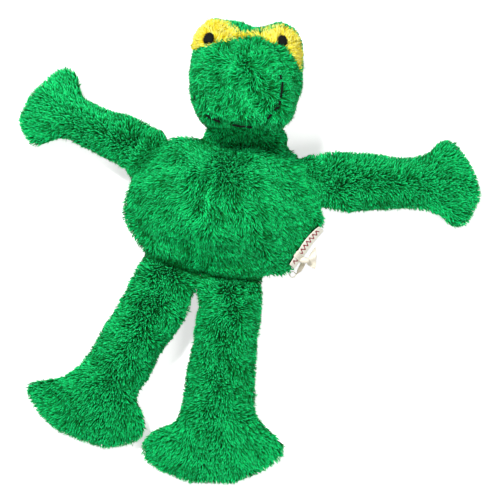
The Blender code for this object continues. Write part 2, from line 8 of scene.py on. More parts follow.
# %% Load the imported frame
import json
import math

import bmesh
import bpy
import numpy as np
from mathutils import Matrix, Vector
from mathutils.bvhtree import BVHTree
from mathutils.kdtree import KDTree


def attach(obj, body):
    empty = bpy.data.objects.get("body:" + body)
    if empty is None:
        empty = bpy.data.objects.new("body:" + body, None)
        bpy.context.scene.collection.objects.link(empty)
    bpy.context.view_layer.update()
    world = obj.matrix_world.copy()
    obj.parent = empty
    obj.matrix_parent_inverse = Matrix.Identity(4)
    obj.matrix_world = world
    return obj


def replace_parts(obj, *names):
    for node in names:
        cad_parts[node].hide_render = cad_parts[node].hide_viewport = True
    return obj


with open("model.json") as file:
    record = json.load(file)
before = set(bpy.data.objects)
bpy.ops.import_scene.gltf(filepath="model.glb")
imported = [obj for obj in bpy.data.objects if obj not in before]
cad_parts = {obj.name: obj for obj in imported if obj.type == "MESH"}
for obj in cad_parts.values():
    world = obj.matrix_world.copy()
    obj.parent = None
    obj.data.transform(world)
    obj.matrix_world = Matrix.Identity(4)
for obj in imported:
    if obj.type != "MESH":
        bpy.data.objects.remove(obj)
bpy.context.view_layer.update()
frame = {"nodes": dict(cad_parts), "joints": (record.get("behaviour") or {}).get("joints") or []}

# %% [markdown]
# ## Camera, floor and light
# The picture was taken from straight above, so the camera hangs over the toy and looks down. The
# floor is pale, and the camera alone sees some extra white on it, so the ground looks white while
# the toy gets no more light for it. One soft lamp above the head stands in for a window, a weaker
# one fills in from the other side, and a plain white world lightens the shadows.

# %% Put meshes and other data into the scene
def placed(name, data):
    """An object with this data, in the scene."""
    obj = bpy.data.objects.new(name, data)
    bpy.context.scene.collection.objects.link(obj)
    return obj


def mesh_of(name, bm):
    """The mesh that a bmesh has built, with the bmesh freed."""
    mesh = bpy.data.meshes.new(name)
    bm.to_mesh(mesh)
    bm.free()
    return mesh


def tree_of(mesh):
    """A mesh as a tree, which finds its points by a ray or by nearness."""
    return BVHTree.FromPolygons(
        [v.co for v in mesh.vertices], [p.vertices[:] for p in mesh.polygons]
    )


# %% Camera over the toy
VIEW_CENTRE = (0.0241, -0.0344)
VIEW_HEIGHT = 1.2
VIEW_WIDTH = 0.430
SENSOR = 36.0

camera = placed("camera", bpy.data.cameras.new("camera"))
camera.location = (*VIEW_CENTRE, VIEW_HEIGHT)
camera.data.sensor_width = SENSOR
camera.data.lens = SENSOR * VIEW_HEIGHT / VIEW_WIDTH
bpy.context.scene.camera = camera
print("lens", round(camera.data.lens, 1), "mm")


# %% Places as the camera sees them
def as_seen(points):
    """Where on the floor the camera sees each point, which stands in front of that place."""
    centre = np.array(VIEW_CENTRE)
    return centre + (points[:, :2] - centre) / (1 - points[:, 2:] / VIEW_HEIGHT)


# %% [markdown]
# ## A small language for materials
# A material is a graph of nodes. Written node by node it is long, so one small class wraps a
# socket and lets values be added and multiplied as in a sum. Every other node comes from its one
# method, which takes the kind of node, its settings and what goes into its sockets.


# %% Wrap a socket so that it works in sums
class Dye:
    def __init__(self, tree, socket=None):
        self.tree, self.socket = tree, socket

    def node(self, kind, settings=None, inputs=None, output=0):
        """Adds a node, sets it, feeds its sockets and returns one of its outputs."""
        made = self.tree.nodes.new(kind)
        for key, value in (settings or {}).items():
            if key == "stops":
                ramp = made.color_ramp
                while len(ramp.elements) < len(value):
                    ramp.elements.new(0.5)
                for stop, (place, colour) in zip(ramp.elements, value):
                    stop.position, stop.color = place, (*colour, 1.0)
            else:
                setattr(made, key, value)
        for key, value in (inputs or {}).items():
            if isinstance(value, Dye):
                self.tree.links.new(value.socket, made.inputs[key])
            else:
                made.inputs[key].default_value = value
        return Dye(self.tree, made.outputs[output] if made.outputs else None)

    def sum(self, operation, first, second):
        return self.node("ShaderNodeMath", {"operation": operation}, {0: first, 1: second})

    def __add__(self, other):
        return self.sum("ADD", self, other)

    def __radd__(self, other):
        return self.sum("ADD", other, self)

    def __sub__(self, other):
        return self.sum("SUBTRACT", self, other)

    def __rsub__(self, other):
        return self.sum("SUBTRACT", other, self)

    def __mul__(self, other):
        return self.sum("MULTIPLY", self, other)

    def __rmul__(self, other):
        return self.sum("MULTIPLY", other, self)

    def __gt__(self, other):
        return self.sum("GREATER_THAN", self, other)

    def __lt__(self, other):
        return self.sum("LESS_THAN", self, other)

    def blend(self, first, second):
        """Mixes two colours, with this value as the share of the second."""
        return self.node(
            "ShaderNodeMix", {"data_type": "RGBA"}, {0: self, 6: first, 7: second}, output=2
        )


# %% Start a material and finish its shader
def new_material(name):
    material = bpy.data.materials.new(name)
    material.use_nodes = True
    material.node_tree.nodes.clear()
    return material, Dye(material.node_tree)


def cover(dye, sockets):
    """Ends a material with the usual surface shader, fed with these sockets."""
    shader = dye.node("ShaderNodeBsdfPrincipled", None, sockets)
    dye.node("ShaderNodeOutputMaterial", None, {"Surface": shader})


# %% Floor, world and lamps
FLOOR_HALF = 3.0

bm = bmesh.new()
bmesh.ops.create_grid(bm, x_segments=1, y_segments=1, size=FLOOR_HALF)
floor = placed("floor", mesh_of("floor", bm))

floor_paint, dye = new_material("pale_floor")
rays = dye.node("ShaderNodeLightPath")
seen = dye.sum("MAXIMUM", rays, Dye(dye.tree, rays.socket.node.outputs["Is Glossy Ray"]))
place = dye.node("ShaderNodeNewGeometry")
far = dye.node("ShaderNodeVectorMath", {"operation": "LENGTH"}, {0: place}, output=1)
share = dye.node("ShaderNodeMapRange", None, {0: far, 1: 0.5, 2: 2.0, 3: 0.66, 4: 0.82})
matte = dye.node("ShaderNodeBsdfDiffuse", None, {"Color": (0.80, 0.80, 0.80, 1)})
glow = dye.node("ShaderNodeEmission", None, {"Color": (1, 1, 1, 1), "Strength": seen * share})
lit = dye.node("ShaderNodeAddShader", None, {0: matte, 1: glow})
dye.node("ShaderNodeOutputMaterial", None, {"Surface": lit})
floor.data.materials.append(floor_paint)

world = bpy.data.worlds.new("white_room")
bpy.context.scene.world = world
world.use_nodes = True
world.node_tree.nodes.clear()
sky = Dye(world.node_tree)
rays = sky.node("ShaderNodeLightPath")
outputs = rays.socket.node.outputs
direct = sky.sum("MAXIMUM", rays, Dye(sky.tree, outputs["Is Glossy Ray"]))
direct = sky.sum("MAXIMUM", direct, Dye(sky.tree, outputs["Is Transmission Ray"]))
WORLD_LIGHT = 0.24
strength = direct * (1 - WORLD_LIGHT) + WORLD_LIGHT
background = sky.node("ShaderNodeBackground", None, {"Color": (1, 1, 1, 1), "Strength": strength})
sky.node("ShaderNodeOutputWorld", None, {"Surface": background})


def lamp(name, place, size, power):
    light = bpy.data.lights.new(name, "AREA")
    light.shape = "DISK"
    light.size = size
    light.energy = power
    obj = placed(name, light)
    obj.location = place
    aim = Vector((*VIEW_CENTRE, 0)) - Vector(place)
    obj.rotation_euler = aim.to_track_quat("-Z", "Y").to_euler()


lamp("window_lamp", (-0.70, 1.10, 1.95), size=0.42, power=61)
lamp("fill_lamp", (0.9, -0.7, 1.7), size=0.9, power=17)
scene = bpy.context.scene
scene.view_settings.view_transform = "Standard"

# %% [markdown]
# ## The backing under the pile
# Each stuffed form of the toy, such as the body or a leg, is a bag of knitted cloth that swells
# round its filling. The solids already have its shape, but as flat facets and with gaps at the
# seams. So the panels and the filling of one form are joined, remeshed as one closed skin of even
# faces, and relaxed until no facet is left. A limb is sewn on along a straight edge and folds about
# it. A small round roll along that edge, in both forms that meet there, keeps them joined however
# far the limb folds, because a round roll looks the same when it turns. At last the skin is drawn
# in, because the pile stands on it and the tips of the pile, not the cloth, make the outline.

# %% The forms, with their panels
FORMS = {
    "body": ["belly_left_panel", "belly_right_panel", "back_panel"],
    "head": ["face_panel", "chin_panel", "head_back_panel", "eye_band"],
}
LIMBS = ["left_arm", "right_arm", "left_leg", "right_leg"]
for limb in LIMBS:
    FORMS[limb] = [limb + "_front_panel", limb + "_back_panel"]

JOINTS = {joint["child"]: joint for joint in frame["joints"]}
# half length and radius of the roll along each sewn edge
SEAM_ROLLS = {
    "head": (0.0235, 0.0125),
    "left_arm": (0.0115, 0.0092),
    "right_arm": (0.0120, 0.0092),
    "left_leg": (0.0160, 0.0070),
    "right_leg": (0.0160, 0.0070),
}
TIPS = {
    "left_arm": (-0.160, 0.095, 0.008),
    "right_arm": (0.212, 0.021, 0.008),
    "left_leg": (-0.110, -0.190, 0.010),
    "right_leg": (-0.012, -0.222, 0.010),
}
SKIN_CELL = 0.0021
RELAX_STEPS = 12
FLOOR_GAP = 0.0004
rng = np.random.default_rng(7)
print("forms", list(FORMS))


# %% Small tools for points
def points_of(mesh):
    places = np.empty(len(mesh.vertices) * 3)
    mesh.vertices.foreach_get("co", places)
    return places.reshape(-1, 3)


def unit(vectors):
    return vectors / np.maximum(np.linalg.norm(vectors, axis=-1, keepdims=True), 1e-12)


def smooth_step(low, high, value):
    t = np.clip((value - low) / (high - low), 0, 1)
    return t * t * (3 - 2 * t)


def waves(points, length, seed, count=9):
    """Smooth random vectors over space, whose waves are about this long."""
    source = np.random.default_rng(seed)
    total = np.zeros_like(points)
    for _ in range(count):
        pitch = unit(source.normal(size=3)) * 2 * math.pi / (length * source.uniform(0.7, 1.5))
        push = source.normal(size=3)
        total += np.sin(points @ pitch + source.uniform(0, 6.28))[:, None] * push
    return total / math.sqrt(count)


def turned(ways, normals, angles):
    """Each direction, turned about the normal beside it by its own angle."""
    return ways * np.cos(angles)[:, None] + np.cross(normals, ways) * np.sin(angles)[:, None]


# %% Join the solids of a form, with its rolls
def add_roll(bm, limb):
    """Adds a capsule along the sewn edge of a limb or of the head."""
    half, radius = SEAM_ROLLS[limb]
    middle, axis = Vector(JOINTS[limb]["pos_m"]), Vector(JOINTS[limb]["axis"])
    for vert in bmesh.ops.create_icosphere(bm, subdivisions=3, radius=radius)["verts"]:
        vert.co += middle + axis * math.copysign(half, vert.co.dot(axis))


def joined_copy(form):
    bm = bmesh.new()
    for node in FORMS[form] + [form + "_stuffing"]:
        bm.from_mesh(frame["nodes"][node].data)
    for limb in SEAM_ROLLS if form == "body" else [form]:
        add_roll(bm, limb)
    return placed(form + "_cloth", mesh_of(form + "_cloth", bm))


# %% Apply modifiers and clean up
def apply_modifiers(obj):
    bpy.context.view_layer.update()
    solid = obj.evaluated_get(bpy.context.evaluated_depsgraph_get())
    mesh = bpy.data.meshes.new_from_object(solid)
    obj.modifiers.clear()
    obj.data = mesh
    return obj


def keep_largest_shell(obj):
    """Drops the small shells that remeshing leaves inside."""
    bm = bmesh.new()
    bm.from_mesh(obj.data)
    left, shells = set(bm.verts), []
    while left:
        shell, edge = set(), [left.pop()]
        while edge:
            vert = edge.pop()
            shell.add(vert)
            for link in vert.link_edges:
                other = link.other_vert(vert)
                if other in left:
                    left.discard(other)
                    edge.append(other)
        shells.append(shell)
    shells.sort(key=len)
    bmesh.ops.delete(bm, geom=[v for shell in shells[:-1] for v in shell], context="VERTS")
    bm.to_mesh(obj.data)
    bm.free()


# %% [markdown]
# ## How far the skin lies under the outline
# On the face the pile lies flat and long, on the limbs it stands up short. So each form has its own
# depth, one where the cloth looks up at the camera and one at its sides, where the pile's tips make
# the outline. Soft dents come from loose filling. A few places are pushed one by one: the left
# foot's toe corner curls up, with a crease beside it.

# %% Depths, dents and pushes
# depth under a face that looks up, at the sides near the root and near the tip, and of the dents
DEPTHS = {
    "body": (0.0030, 0.0014, 0.0014, 0.0010),
    "head": (0.0045, 0.0048, 0.0048, 0.0012),
    "left_arm": (0.0020, 0.0017, 0.0010, 0.0013),
    "right_arm": (0.0020, 0.0008, -0.0011, 0.0013),
    "left_leg": (0.0018, -0.0001, 0.0000, 0.0014),
    "right_leg": (0.0018, -0.0015, -0.0012, 0.0014),
}
# middle of the push as the camera sees it, its reach and the push itself
PUSHES = {
    "left_leg": [
        ((-0.1590, -0.1510), 0.0090, (-0.0040, 0.0035, 0.0060)),
        ((-0.1470, -0.1600), 0.0060, (0, 0, -0.0050)),
        ((-0.1625, -0.1548), 0.0100, (-0.0015, 0.0005, 0)),
        ((-0.1376, -0.1376), 0.0110, (0.0010, -0.0025, 0)),
        ((-0.0671, -0.1650), 0.0160, (-0.0042, 0, 0)),
        ((-0.1006, -0.0989), 0.0240, (-0.0011, 0.0005, 0)),
        ((-0.1170, -0.1230), 0.0160, (-0.0022, 0.0010, 0)),
        ((-0.1492, -0.1450), 0.0100, (0, 0.0016, 0.0010)),
        ((-0.0553, -0.1260), 0.0120, (-0.0012, 0.0004, 0)),
        ((-0.0892, -0.0779), 0.0120, (-0.0010, 0.0004, 0)),
        ((-0.0270, -0.0880), 0.0120, (0.0020, -0.0008, 0)),
        ((-0.0380, -0.1000), 0.0240, (0.0014, -0.0006, 0)),
        ((-0.0232, -0.0602), 0.0140, (0.0058, 0, 0)),
        ((-0.0215, -0.0568), 0.0090, (0.0018, 0, 0)),
        ((-0.1092, -0.2021), 0.0180, (0, -0.0014, 0)),
    ],
    "right_leg": [
        ((0.0508, -0.2038), 0.0140, (0.0056, -0.0006, 0)),
        ((-0.0447, -0.1770), 0.0140, (0.0042, -0.0036, 0)),
        ((0.0327, -0.1737), 0.0120, (-0.0028, -0.0015, 0)),
        ((0.0345, -0.1834), 0.0110, (-0.0009, -0.0006, 0)),
        ((0.0285, -0.1600), 0.0150, (0.0017, 0, 0)),
        ((-0.0334, -0.1621), 0.0120, (0.0010, 0, 0)),
        ((-0.0290, -0.2325), 0.0120, (0, 0.0013, 0)),
        ((-0.0047, -0.2348), 0.0140, (0, -0.0012, 0)),
        ((0.0314, -0.2255), 0.0120, (0, -0.0012, 0)),
        ((0.0326, -0.0950), 0.0180, (0.0022, 0, 0)),
        ((-0.0190, -0.0820), 0.0110, (0.0030, 0, 0)),
        ((-0.0146, -0.0559), 0.0100, (-0.0034, 0, 0)),
    ],
    "left_arm": [
        ((-0.1180, 0.1000), 0.0120, (-0.0020, -0.0038, 0)),
        ((-0.1376, 0.0602), 0.0110, (0.0005, 0.0025, 0)),
        ((-0.1651, 0.0989), 0.0120, (-0.0016, 0.0010, 0)),
        ((-0.1677, 0.0817), 0.0180, (-0.0014, 0.0003, 0)),
        ((-0.0834, 0.0843), 0.0220, (0.0010, 0.0012, 0)),
        ((-0.0550, 0.0700), 0.0150, (0.0012, 0.0062, 0)),
        ((-0.1010, 0.0881), 0.0120, (0, 0.0013, 0)),
        ((-0.1359, 0.1226), 0.0080, (0, 0.0015, 0)),
        ((-0.1250, 0.0570), 0.0100, (0, -0.0013, 0)),
        ((-0.1248, 0.1148), 0.0080, (0.0011, 0.0005, 0)),
    ],
    "right_arm": [
        ((0.1700, 0.0480), 0.0150, (0, -0.0044, 0)),
        ((0.1737, -0.0026), 0.0140, (-0.0008, 0.0052, 0)),
        ((0.2150, 0.0215), 0.0220, (0.0018, 0, 0)),
        ((0.1978, 0.0585), 0.0120, (0.0012, 0.0018, 0)),
        ((0.2047, -0.0138), 0.0120, (0.0008, 0, 0)),
        ((0.1855, 0.0575), 0.0090, (-0.0011, 0.0024, 0)),
        ((0.0912, 0.0009), 0.0100, (0, -0.0016, 0)),
        ((0.0916, 0.0499), 0.0100, (0, 0.0012, 0)),
        ((0.1737, 0.0009), 0.0080, (0, 0.0012, 0)),
        ((0.1641, 0.0009), 0.0080, (0, -0.0028, 0)),
        ((0.1058, 0.0000), 0.0260, (0, -0.0026, 0)),
        ((0.1875, -0.0060), 0.0120, (0, 0.0032, 0)),
        ((0.1789, 0.0516), 0.0100, (0, -0.0028, 0)),
    ],
    "body": [
        ((-0.0870, 0.0060), 0.0200, (-0.0008, 0, 0)),
        ((-0.0816, 0.0202), 0.0110, (-0.0010, 0, 0)),
        ((-0.0748, -0.0258), 0.0140, (0.0026, 0.0014, 0)),
        ((-0.0318, 0.0619), 0.0180, (-0.0005, 0.0036, 0)),
        ((0.0645, 0.0533), 0.0140, (-0.0022, -0.0018, 0)),
        ((0.0843, -0.0103), 0.0150, (0.0030, 0, 0)),
        ((0.0600, -0.0520), 0.0150, (0.0005, -0.0022, 0)),
        ((0.0570, 0.0550), 0.0090, (0.0010, 0.0006, 0)),
    ],
    "head": [
        ((0.0720, 0.0800), 0.0240, (-0.0055, 0, 0)),
        ((0.0671, 0.1419), 0.0140, (0.0018, 0.0006, 0)),
        ((-0.0295, 0.1160), 0.0140, (-0.0022, 0, 0)),
        ((-0.0270, 0.0930), 0.0100, (-0.0008, 0, 0)),
        ((0.0700, 0.1148), 0.0120, (0.0010, 0, 0)),
        ((-0.0187, 0.0776), 0.0100, (0.0012, 0.0002, 0)),
        ((0.0594, 0.0770), 0.0120, (0.0012, -0.0010, 0)),
        ((0.0663, 0.1506), 0.0100, (0.0020, 0.0006, 0)),
        ((-0.0090, 0.1640), 0.0150, (0, 0.0026, 0)),
        ((0.0070, 0.1636), 0.0110, (0, 0.0012, 0)),
        ((0.0436, 0.1609), 0.0110, (0, 0.0010, 0)),
        ((0.0155, 0.1617), 0.0120, (0, 0.0012, 0)),
        ((-0.0253, 0.1492), 0.0100, (-0.0022, 0.0010, 0)),
        ((0.0290, 0.1590), 0.0100, (0, -0.0014, 0)),
        ((0.0200, 0.0720), 0.0220, (0, 0.0032, 0)),
    ],
}


# creases at the sewn edges as the camera sees them, and how deep each one is
CREASES = {
    "hips": (np.array([(-0.0645, -0.0398), (-0.0404, -0.0473), (-0.0189, -0.0533),
                       (0.0026, -0.0578), (0.0353, -0.0590)]), 0.0056),
    "neck": (np.array([(-0.0130, 0.0608), (0.0198, 0.0592), (0.0559, 0.0583)]), 0.0034),
    "left_shoulder": (np.array([(-0.0490, 0.0610), (-0.0791, 0.0284)]), 0.0024),
    "right_shoulder": (np.array([(0.0697, 0.0455), (0.0860, 0.0052)]), 0.0024),
}
BELLY_OVER_HIPS = CREASES["hips"][0] + np.array([0, 0.0090])
THIGHS = CREASES["hips"][0] - np.array([0, 0.0120])


def near_line(spots, line, reach):
    """How near each spot is to a line of straight pieces, from 0 to 1."""
    least = np.ones(len(spots))
    for start, end in zip(line, line[1:]):
        way = end - start
        share = np.clip((spots - start) @ way / (way @ way), 0, 1)[:, None]
        least = np.minimum(least, np.linalg.norm(spots - start - share * way, axis=1))
    return np.exp(-(least / reach) ** 2)


def fold_creases(form, places):
    """Sinks the upper side of a form along the creases, and swells it beside the hips."""
    spots = as_seen(places)
    upper = smooth_step(0.012, 0.026, places[:, 2])
    for line, depth in CREASES.values():
        places[:, 2] -= near_line(spots, line, 0.0055) * depth * upper
    if form == "body":
        over = near_line(spots, BELLY_OVER_HIPS, 0.0075) * upper
        places += over[:, None] * np.array([0, -0.0022, 0.0046])
    if "leg" in form:
        places[:, 2] += near_line(spots, THIGHS, 0.0080) * upper * 0.0030


def share_along(limb, points):
    """How far along its limb each point lies, from 0 at the sewn edge to 1 at the tip."""
    start, end = np.array(JOINTS[limb]["pos_m"]), np.array(TIPS[limb])
    line = end - start
    return (points - start) @ line / (line @ line)


def make_skin(form):
    obj = joined_copy(form)
    remesh = obj.modifiers.new("even_faces", "REMESH")
    remesh.mode = "VOXEL"
    remesh.voxel_size = SKIN_CELL
    relax = obj.modifiers.new("relax", "SMOOTH")
    relax.factor = 0.5
    relax.iterations = RELAX_STEPS
    apply_modifiers(obj)
    keep_largest_shell(obj)
    mesh = obj.data
    tree = tree_of(mesh)
    places = points_of(mesh)
    normals = np.array([v.normal for v in mesh.vertices])
    room = np.full(len(places), 1.0)
    for i, (place, normal) in enumerate(zip(places, normals)):
        start = Vector(place - normal * 0.0002)
        hit = tree.ray_cast(start, Vector(-normal))
        if hit[0] is not None:
            room[i] = hit[3]
    top, side, side_at_tip, dent = DEPTHS[form]
    if form in TIPS:
        side = side + (side_at_tip - side) * smooth_step(0.5, 0.75, share_along(form, places))
    inset = np.minimum(side + (top - side) * np.abs(normals[:, 2]), room * 0.3)
    dents = (waves(places, 0.030, 11) * normals).sum(1) * np.minimum(dent, room * 0.05)
    places += normals * (dents - inset)[:, None]
    for middle, reach, push in PUSHES.get(form, []):
        away = np.linalg.norm(as_seen(places) - np.array(middle), axis=1) / reach
        places += np.exp(-away**2)[:, None] * np.array(push)
    fold_creases(form, places)
    places[:, 2] = np.maximum(places[:, 2], FLOOR_GAP)
    mesh.vertices.foreach_set("co", places.ravel())
    mesh.update()
    mesh.shade_smooth()
    return obj


skins = {form: make_skin(form) for form in FORMS}
for form, obj in skins.items():
    print(form, "skin has", len(obj.data.vertices), "points")

# %% [markdown]
# ## Where the strands stand
# A strand is rooted somewhere on the skin. Roots that are thrown down at random bunch up and leave
# holes, so more are thrown than needed and only one is kept in each small cell of space. Each root
# then learns which panel it stands on: the panel of the solid model that lies nearest. The yellow
# of the eyes is the exception. Its two crescents are cut by an outline as the camera sees them,
# with the green of the back of the head rising as a rim behind them.

# %% Panels by place
panel_trees = {}
for form, panels in FORMS.items():
    corners, faces, owner = [], [], []
    for index, node in enumerate(panels):
        mesh = frame["nodes"][node].data
        shift = len(corners)
        corners += [v.co.copy() for v in mesh.vertices]
        faces += [[shift + v for v in p.vertices] for p in mesh.polygons]
        owner += [index] * len(mesh.polygons)
    panel_trees[form] = BVHTree.FromPolygons(corners, faces), np.array(owner)

# outline of both crescents as seen on the floor, and the lids' lower edge, in millimetres
YELLOW = np.array([
    (-21.8, 138.4), (-40.0, 134.0), (-46.0, 150.0), (-36.0, 162.0), (-24.0, 170.0), (-11.6, 172.0),
    (-11.0, 162.4), (-7.0, 160.8), (-1.1, 159.0), (6.5, 155.4), (12.0, 151.8), (17.0, 149.8),
    (26.0, 149.6), (33.6, 150.2), (41.0, 153.0), (48.0, 155.2), (54.5, 153.9), (60.2, 150.2),
    (63.8, 145.4), (65.2, 139.0), (65.6, 129.0), (65.6, 119.0),
    (61.9, 126.6), (58.2, 132.6), (53.3, 138.2), (47.3, 141.6), (40.6, 143.2),
    (36.2, 145.2), (32.6, 147.6), (22.0, 148.0), (12.2, 147.4), (5.4, 145.4),
    (-4.5, 143.0), (-14.8, 139.4),
]) / 1000
LID_LINE = np.array([
    (-40.0, 134.0), (-21.8, 138.4), (-14.8, 139.4), (-4.5, 143.0), (5.4, 145.4), (12.2, 147.4),
    (22.0, 148.0), (32.6, 147.6), (36.2, 145.2), (40.6, 143.2), (47.3, 141.6), (53.3, 138.2),
    (58.2, 132.6), (61.9, 126.6), (65.6, 119.0), (80.0, 111.0),
]) / 1000


def inside(points, outline):
    """Whether each point lies inside a closed outline."""
    x, y = points[:, 0], points[:, 1]
    within = np.zeros(len(points), bool)
    for (x0, y0), (x1, y1) in zip(outline, np.roll(outline, -1, axis=0)):
        crosses = (y0 > y) != (y1 > y)
        within ^= crosses & (x < x0 + (x1 - x0) * (y - y0) / (y1 - y0 + 1e-12))
    return within


def panel_at(form, points, normals):
    """The number of the panel that each point stands on."""
    tree, owner = panel_trees[form]
    found = np.array([owner[tree.find_nearest(Vector(p))[2]] for p in points])
    if form == "head":
        face, _, back, eyes = range(4)
        spots = as_seen(points)
        up = np.where((spots[:, 1] < 0.128) & (spots[:, 0] > 0.05), 0.22, -0.05)
        yellow = inside(spots, YELLOW) & (normals[:, 2] > up)
        above = spots[:, 1] > np.interp(spots[:, 0], *LID_LINE.T)
        found[(found == eyes) & ~yellow] = face
        found[above & ~yellow] = back
        found[yellow] = eyes
    return found


# %% Throw the roots
ROOT_SPACING = 0.00105
THROWS_PER_CELL = 3
CELLS_A_SIDE = 4096
# undersides that nobody sees have fewer strands
THINNED_SHARE = 0.6


def first_in_cells(places, size):
    """The number of the first point in each small cell of space."""
    cell = np.floor(places / size).astype(np.int64)
    key = (cell[:, 0] * CELLS_A_SIDE + cell[:, 1]) * CELLS_A_SIDE + cell[:, 2]
    return np.unique(key, return_index=True)[1]


def throw_roots(obj, spacing):
    """Evenly spaced points on a mesh, with the direction out of it at each."""
    mesh = obj.data
    mesh.calc_loop_triangles()
    corners = np.empty(len(mesh.loop_triangles) * 3, int)
    mesh.loop_triangles.foreach_get("vertices", corners)
    corners = corners.reshape(-1, 3)
    places = points_of(mesh)
    normals = np.array([v.normal for v in mesh.vertices])
    a, b, c = (places[corners[:, i]] for i in range(3))
    area = np.linalg.norm(np.cross(b - a, c - a), axis=1) / 2
    count = int(area.sum() / spacing**2 * THROWS_PER_CELL)
    pick = rng.choice(len(corners), count, p=area / area.sum())
    u, v = rng.random(count), rng.random(count)
    over = u + v > 1
    u[over], v[over] = 1 - u[over], 1 - v[over]
    shares = np.stack([1 - u - v, u, v], 1)
    root = (places[corners[pick]] * shares[:, :, None]).sum(1)
    normal = unit((normals[corners[pick]] * shares[:, :, None]).sum(1))
    first = first_in_cells(root, spacing)
    hidden = (normal[first, 2] < -0.5) & (rng.random(len(first)) < THINNED_SHARE)
    first = first[~hidden]
    return root[first], normal[first]


# %% [markdown]
# ## How the pile lies
# Pile cloth has a nap: its strands lean one way, like combed hair. On the belly they run down and
# out to both sides. On a limb they stand almost straight up in the middle, where one looks into the
# dark gaps between them, and fan out towards its sides. The face is the most handled, so its pile
# is longer, flatter and curlier than the rest. A flow that is mixed at random leaves bald spots
# where strands part. So each panel has one plain flow, which is only turned a little, this way here
# and that way there.

# %% Where palms and soles begin, and the belly's seam as the camera sees it
PALM_START = {"left_arm": 0.52, "right_arm": 0.58, "left_leg": 0.62, "right_leg": 0.62}
BELLY_SEAM = np.array([(0.0060, 0.060), (-0.0095, 0.0172), (-0.0215, -0.0172), (-0.0189, -0.056)])
FOREHEAD = np.array([0.0198, 0.1273])
print("belly seam", round(float(np.linalg.norm(np.diff(BELLY_SEAM, axis=0), axis=1).sum()), 3), "m")


def near_belly_seam(root, reach):
    """How near each root is to the belly's seam, from 0 to 1."""
    spots = as_seen(root)
    side = spots[:, 0] - np.interp(spots[:, 1], *BELLY_SEAM[::-1, ::-1].T)
    near = np.exp(-(side / reach) ** 2) * smooth_step(0.045, 0.015, spots[:, 1])
    return near * smooth_step(0.02, 0.05, root[:, 2])


def near_crease(root):
    """How near each root is to a crease, from 0 to 1, and less where the crease is shallow."""
    near = [near_line(as_seen(root), line, 0.0042) * depth for line, depth in CREASES.values()]
    deepest = max(depth for _, depth in CREASES.values())
    return np.max(near, axis=0) / deepest * smooth_step(0.010, 0.022, root[:, 2])


# %% The way the pile is combed
def body_comb(root):
    """Down and out to both sides, straight down low on the left, and along the belly's seam."""
    spots = as_seen(root)
    seam = np.interp(spots[:, 1], *BELLY_SEAM[::-1, ::-1].T)
    side = np.tanh((spots[:, 0] - seam) / 0.035)
    low = smooth_step(0.010, -0.030, spots[:, 1])
    slant = np.interp(spots[:, 1], (-0.030, -0.010, 0.030), (0.0, 0.26, 0.26))
    across = side * np.where(side < 0, 0.70 - 0.50 * low, 0.95) - slant
    flow = unit(np.stack([across, -0.72 - 0.1 * low, np.full(len(root), -0.2)], 1)) * 0.95
    near = near_belly_seam(root, 0.0018)[:, None]
    return flow * (1 - near) + np.array([-0.3, -1.0, 0]) * near


def face_comb(root):
    """Out from the forehead to the lids, the cheeks and the mouth."""
    away = as_seen(root) - FOREHEAD
    mixed = smooth_step(0.012, 0.001, np.linalg.norm(away, axis=1))[:, None]
    flow = unit(away) * (1 - 0.6 * mixed) + rng.normal(size=away.shape) * mixed * 0.8
    return np.concatenate([flow, np.zeros((len(root), 1))], 1)


def eyes_comb(root):
    left = root[:, :1] < 0.025
    middle = np.where(left, (-0.0040, 0.1340), (0.0450, 0.1300))
    comb = np.concatenate([unit(root[:, :2] - middle), np.full((len(root), 1), 0.1)], 1)
    return comb + np.array([0, 0.35, 0])


def limb_comb(limb, root):
    start, end = np.array(JOINTS[limb]["pos_m"]), np.array(TIPS[limb])
    line = end - start
    length = np.linalg.norm(line)
    line = line / length
    share = (root - start) @ line / length
    fan = smooth_step(PALM_START[limb] - 0.05, PALM_START[limb] + 0.2, share)[:, None]
    wrist = start + line * length * PALM_START[limb]
    side = root - (start + (root - start) @ line[:, None] * line)
    side[:, 2] = 0
    reach = np.linalg.norm(side, axis=1)[:, None]
    along = line * 0.45 + unit(side) * smooth_step(0.002, 0.020, reach)
    palm = unit(root - wrist) * (0.35 + 0.75 * smooth_step(0.01, 0.05, reach + fan * 0.02))
    return along * (1 - fan) + palm * fan


def comb_direction(form, panel, root):
    """Which way the pile is combed at each root, before it leans out of the cloth."""
    if form == "body":
        return body_comb(root)
    if panel == "eye_band":
        return eyes_comb(root)
    if panel in ("face_panel", "chin_panel"):
        return face_comb(root)
    if form == "head":
        return unit(root - np.array([0.022, 0.110, 0.040])) + np.array([0, 0.2, 0.2])
    return limb_comb(form, root)


# %% Facts of each kind of pile
# length, lean out of upright, turn of the flow, curl, share drawn into tufts, width
PILES = {
    "body": (0.0056, 1.25, 0.36, 0.17, 0.24, 0.00090),
    "limb": (0.0048, 1.05, 0.55, 0.19, 0.26, 0.00088),
    "palm": (0.0048, 1.30, 0.30, 0.15, 0.24, 0.00084),
    "face": (0.0080, 1.80, 0.75, 0.46, 0.14, 0.00080),
    "chin": (0.0050, 0.95, 0.60, 0.25, 0.28, 0.00088),
    "rim": (0.0060, 0.75, 0.35, 0.20, 0.32, 0.00090),
    "eyes": (0.0068, 0.95, 0.50, 0.38, 0.48, 0.00098),
}
TUFT_SPACING = 0.0016
print("strand lengths in mm", {k: v[0] * 1000 for k, v in PILES.items()})


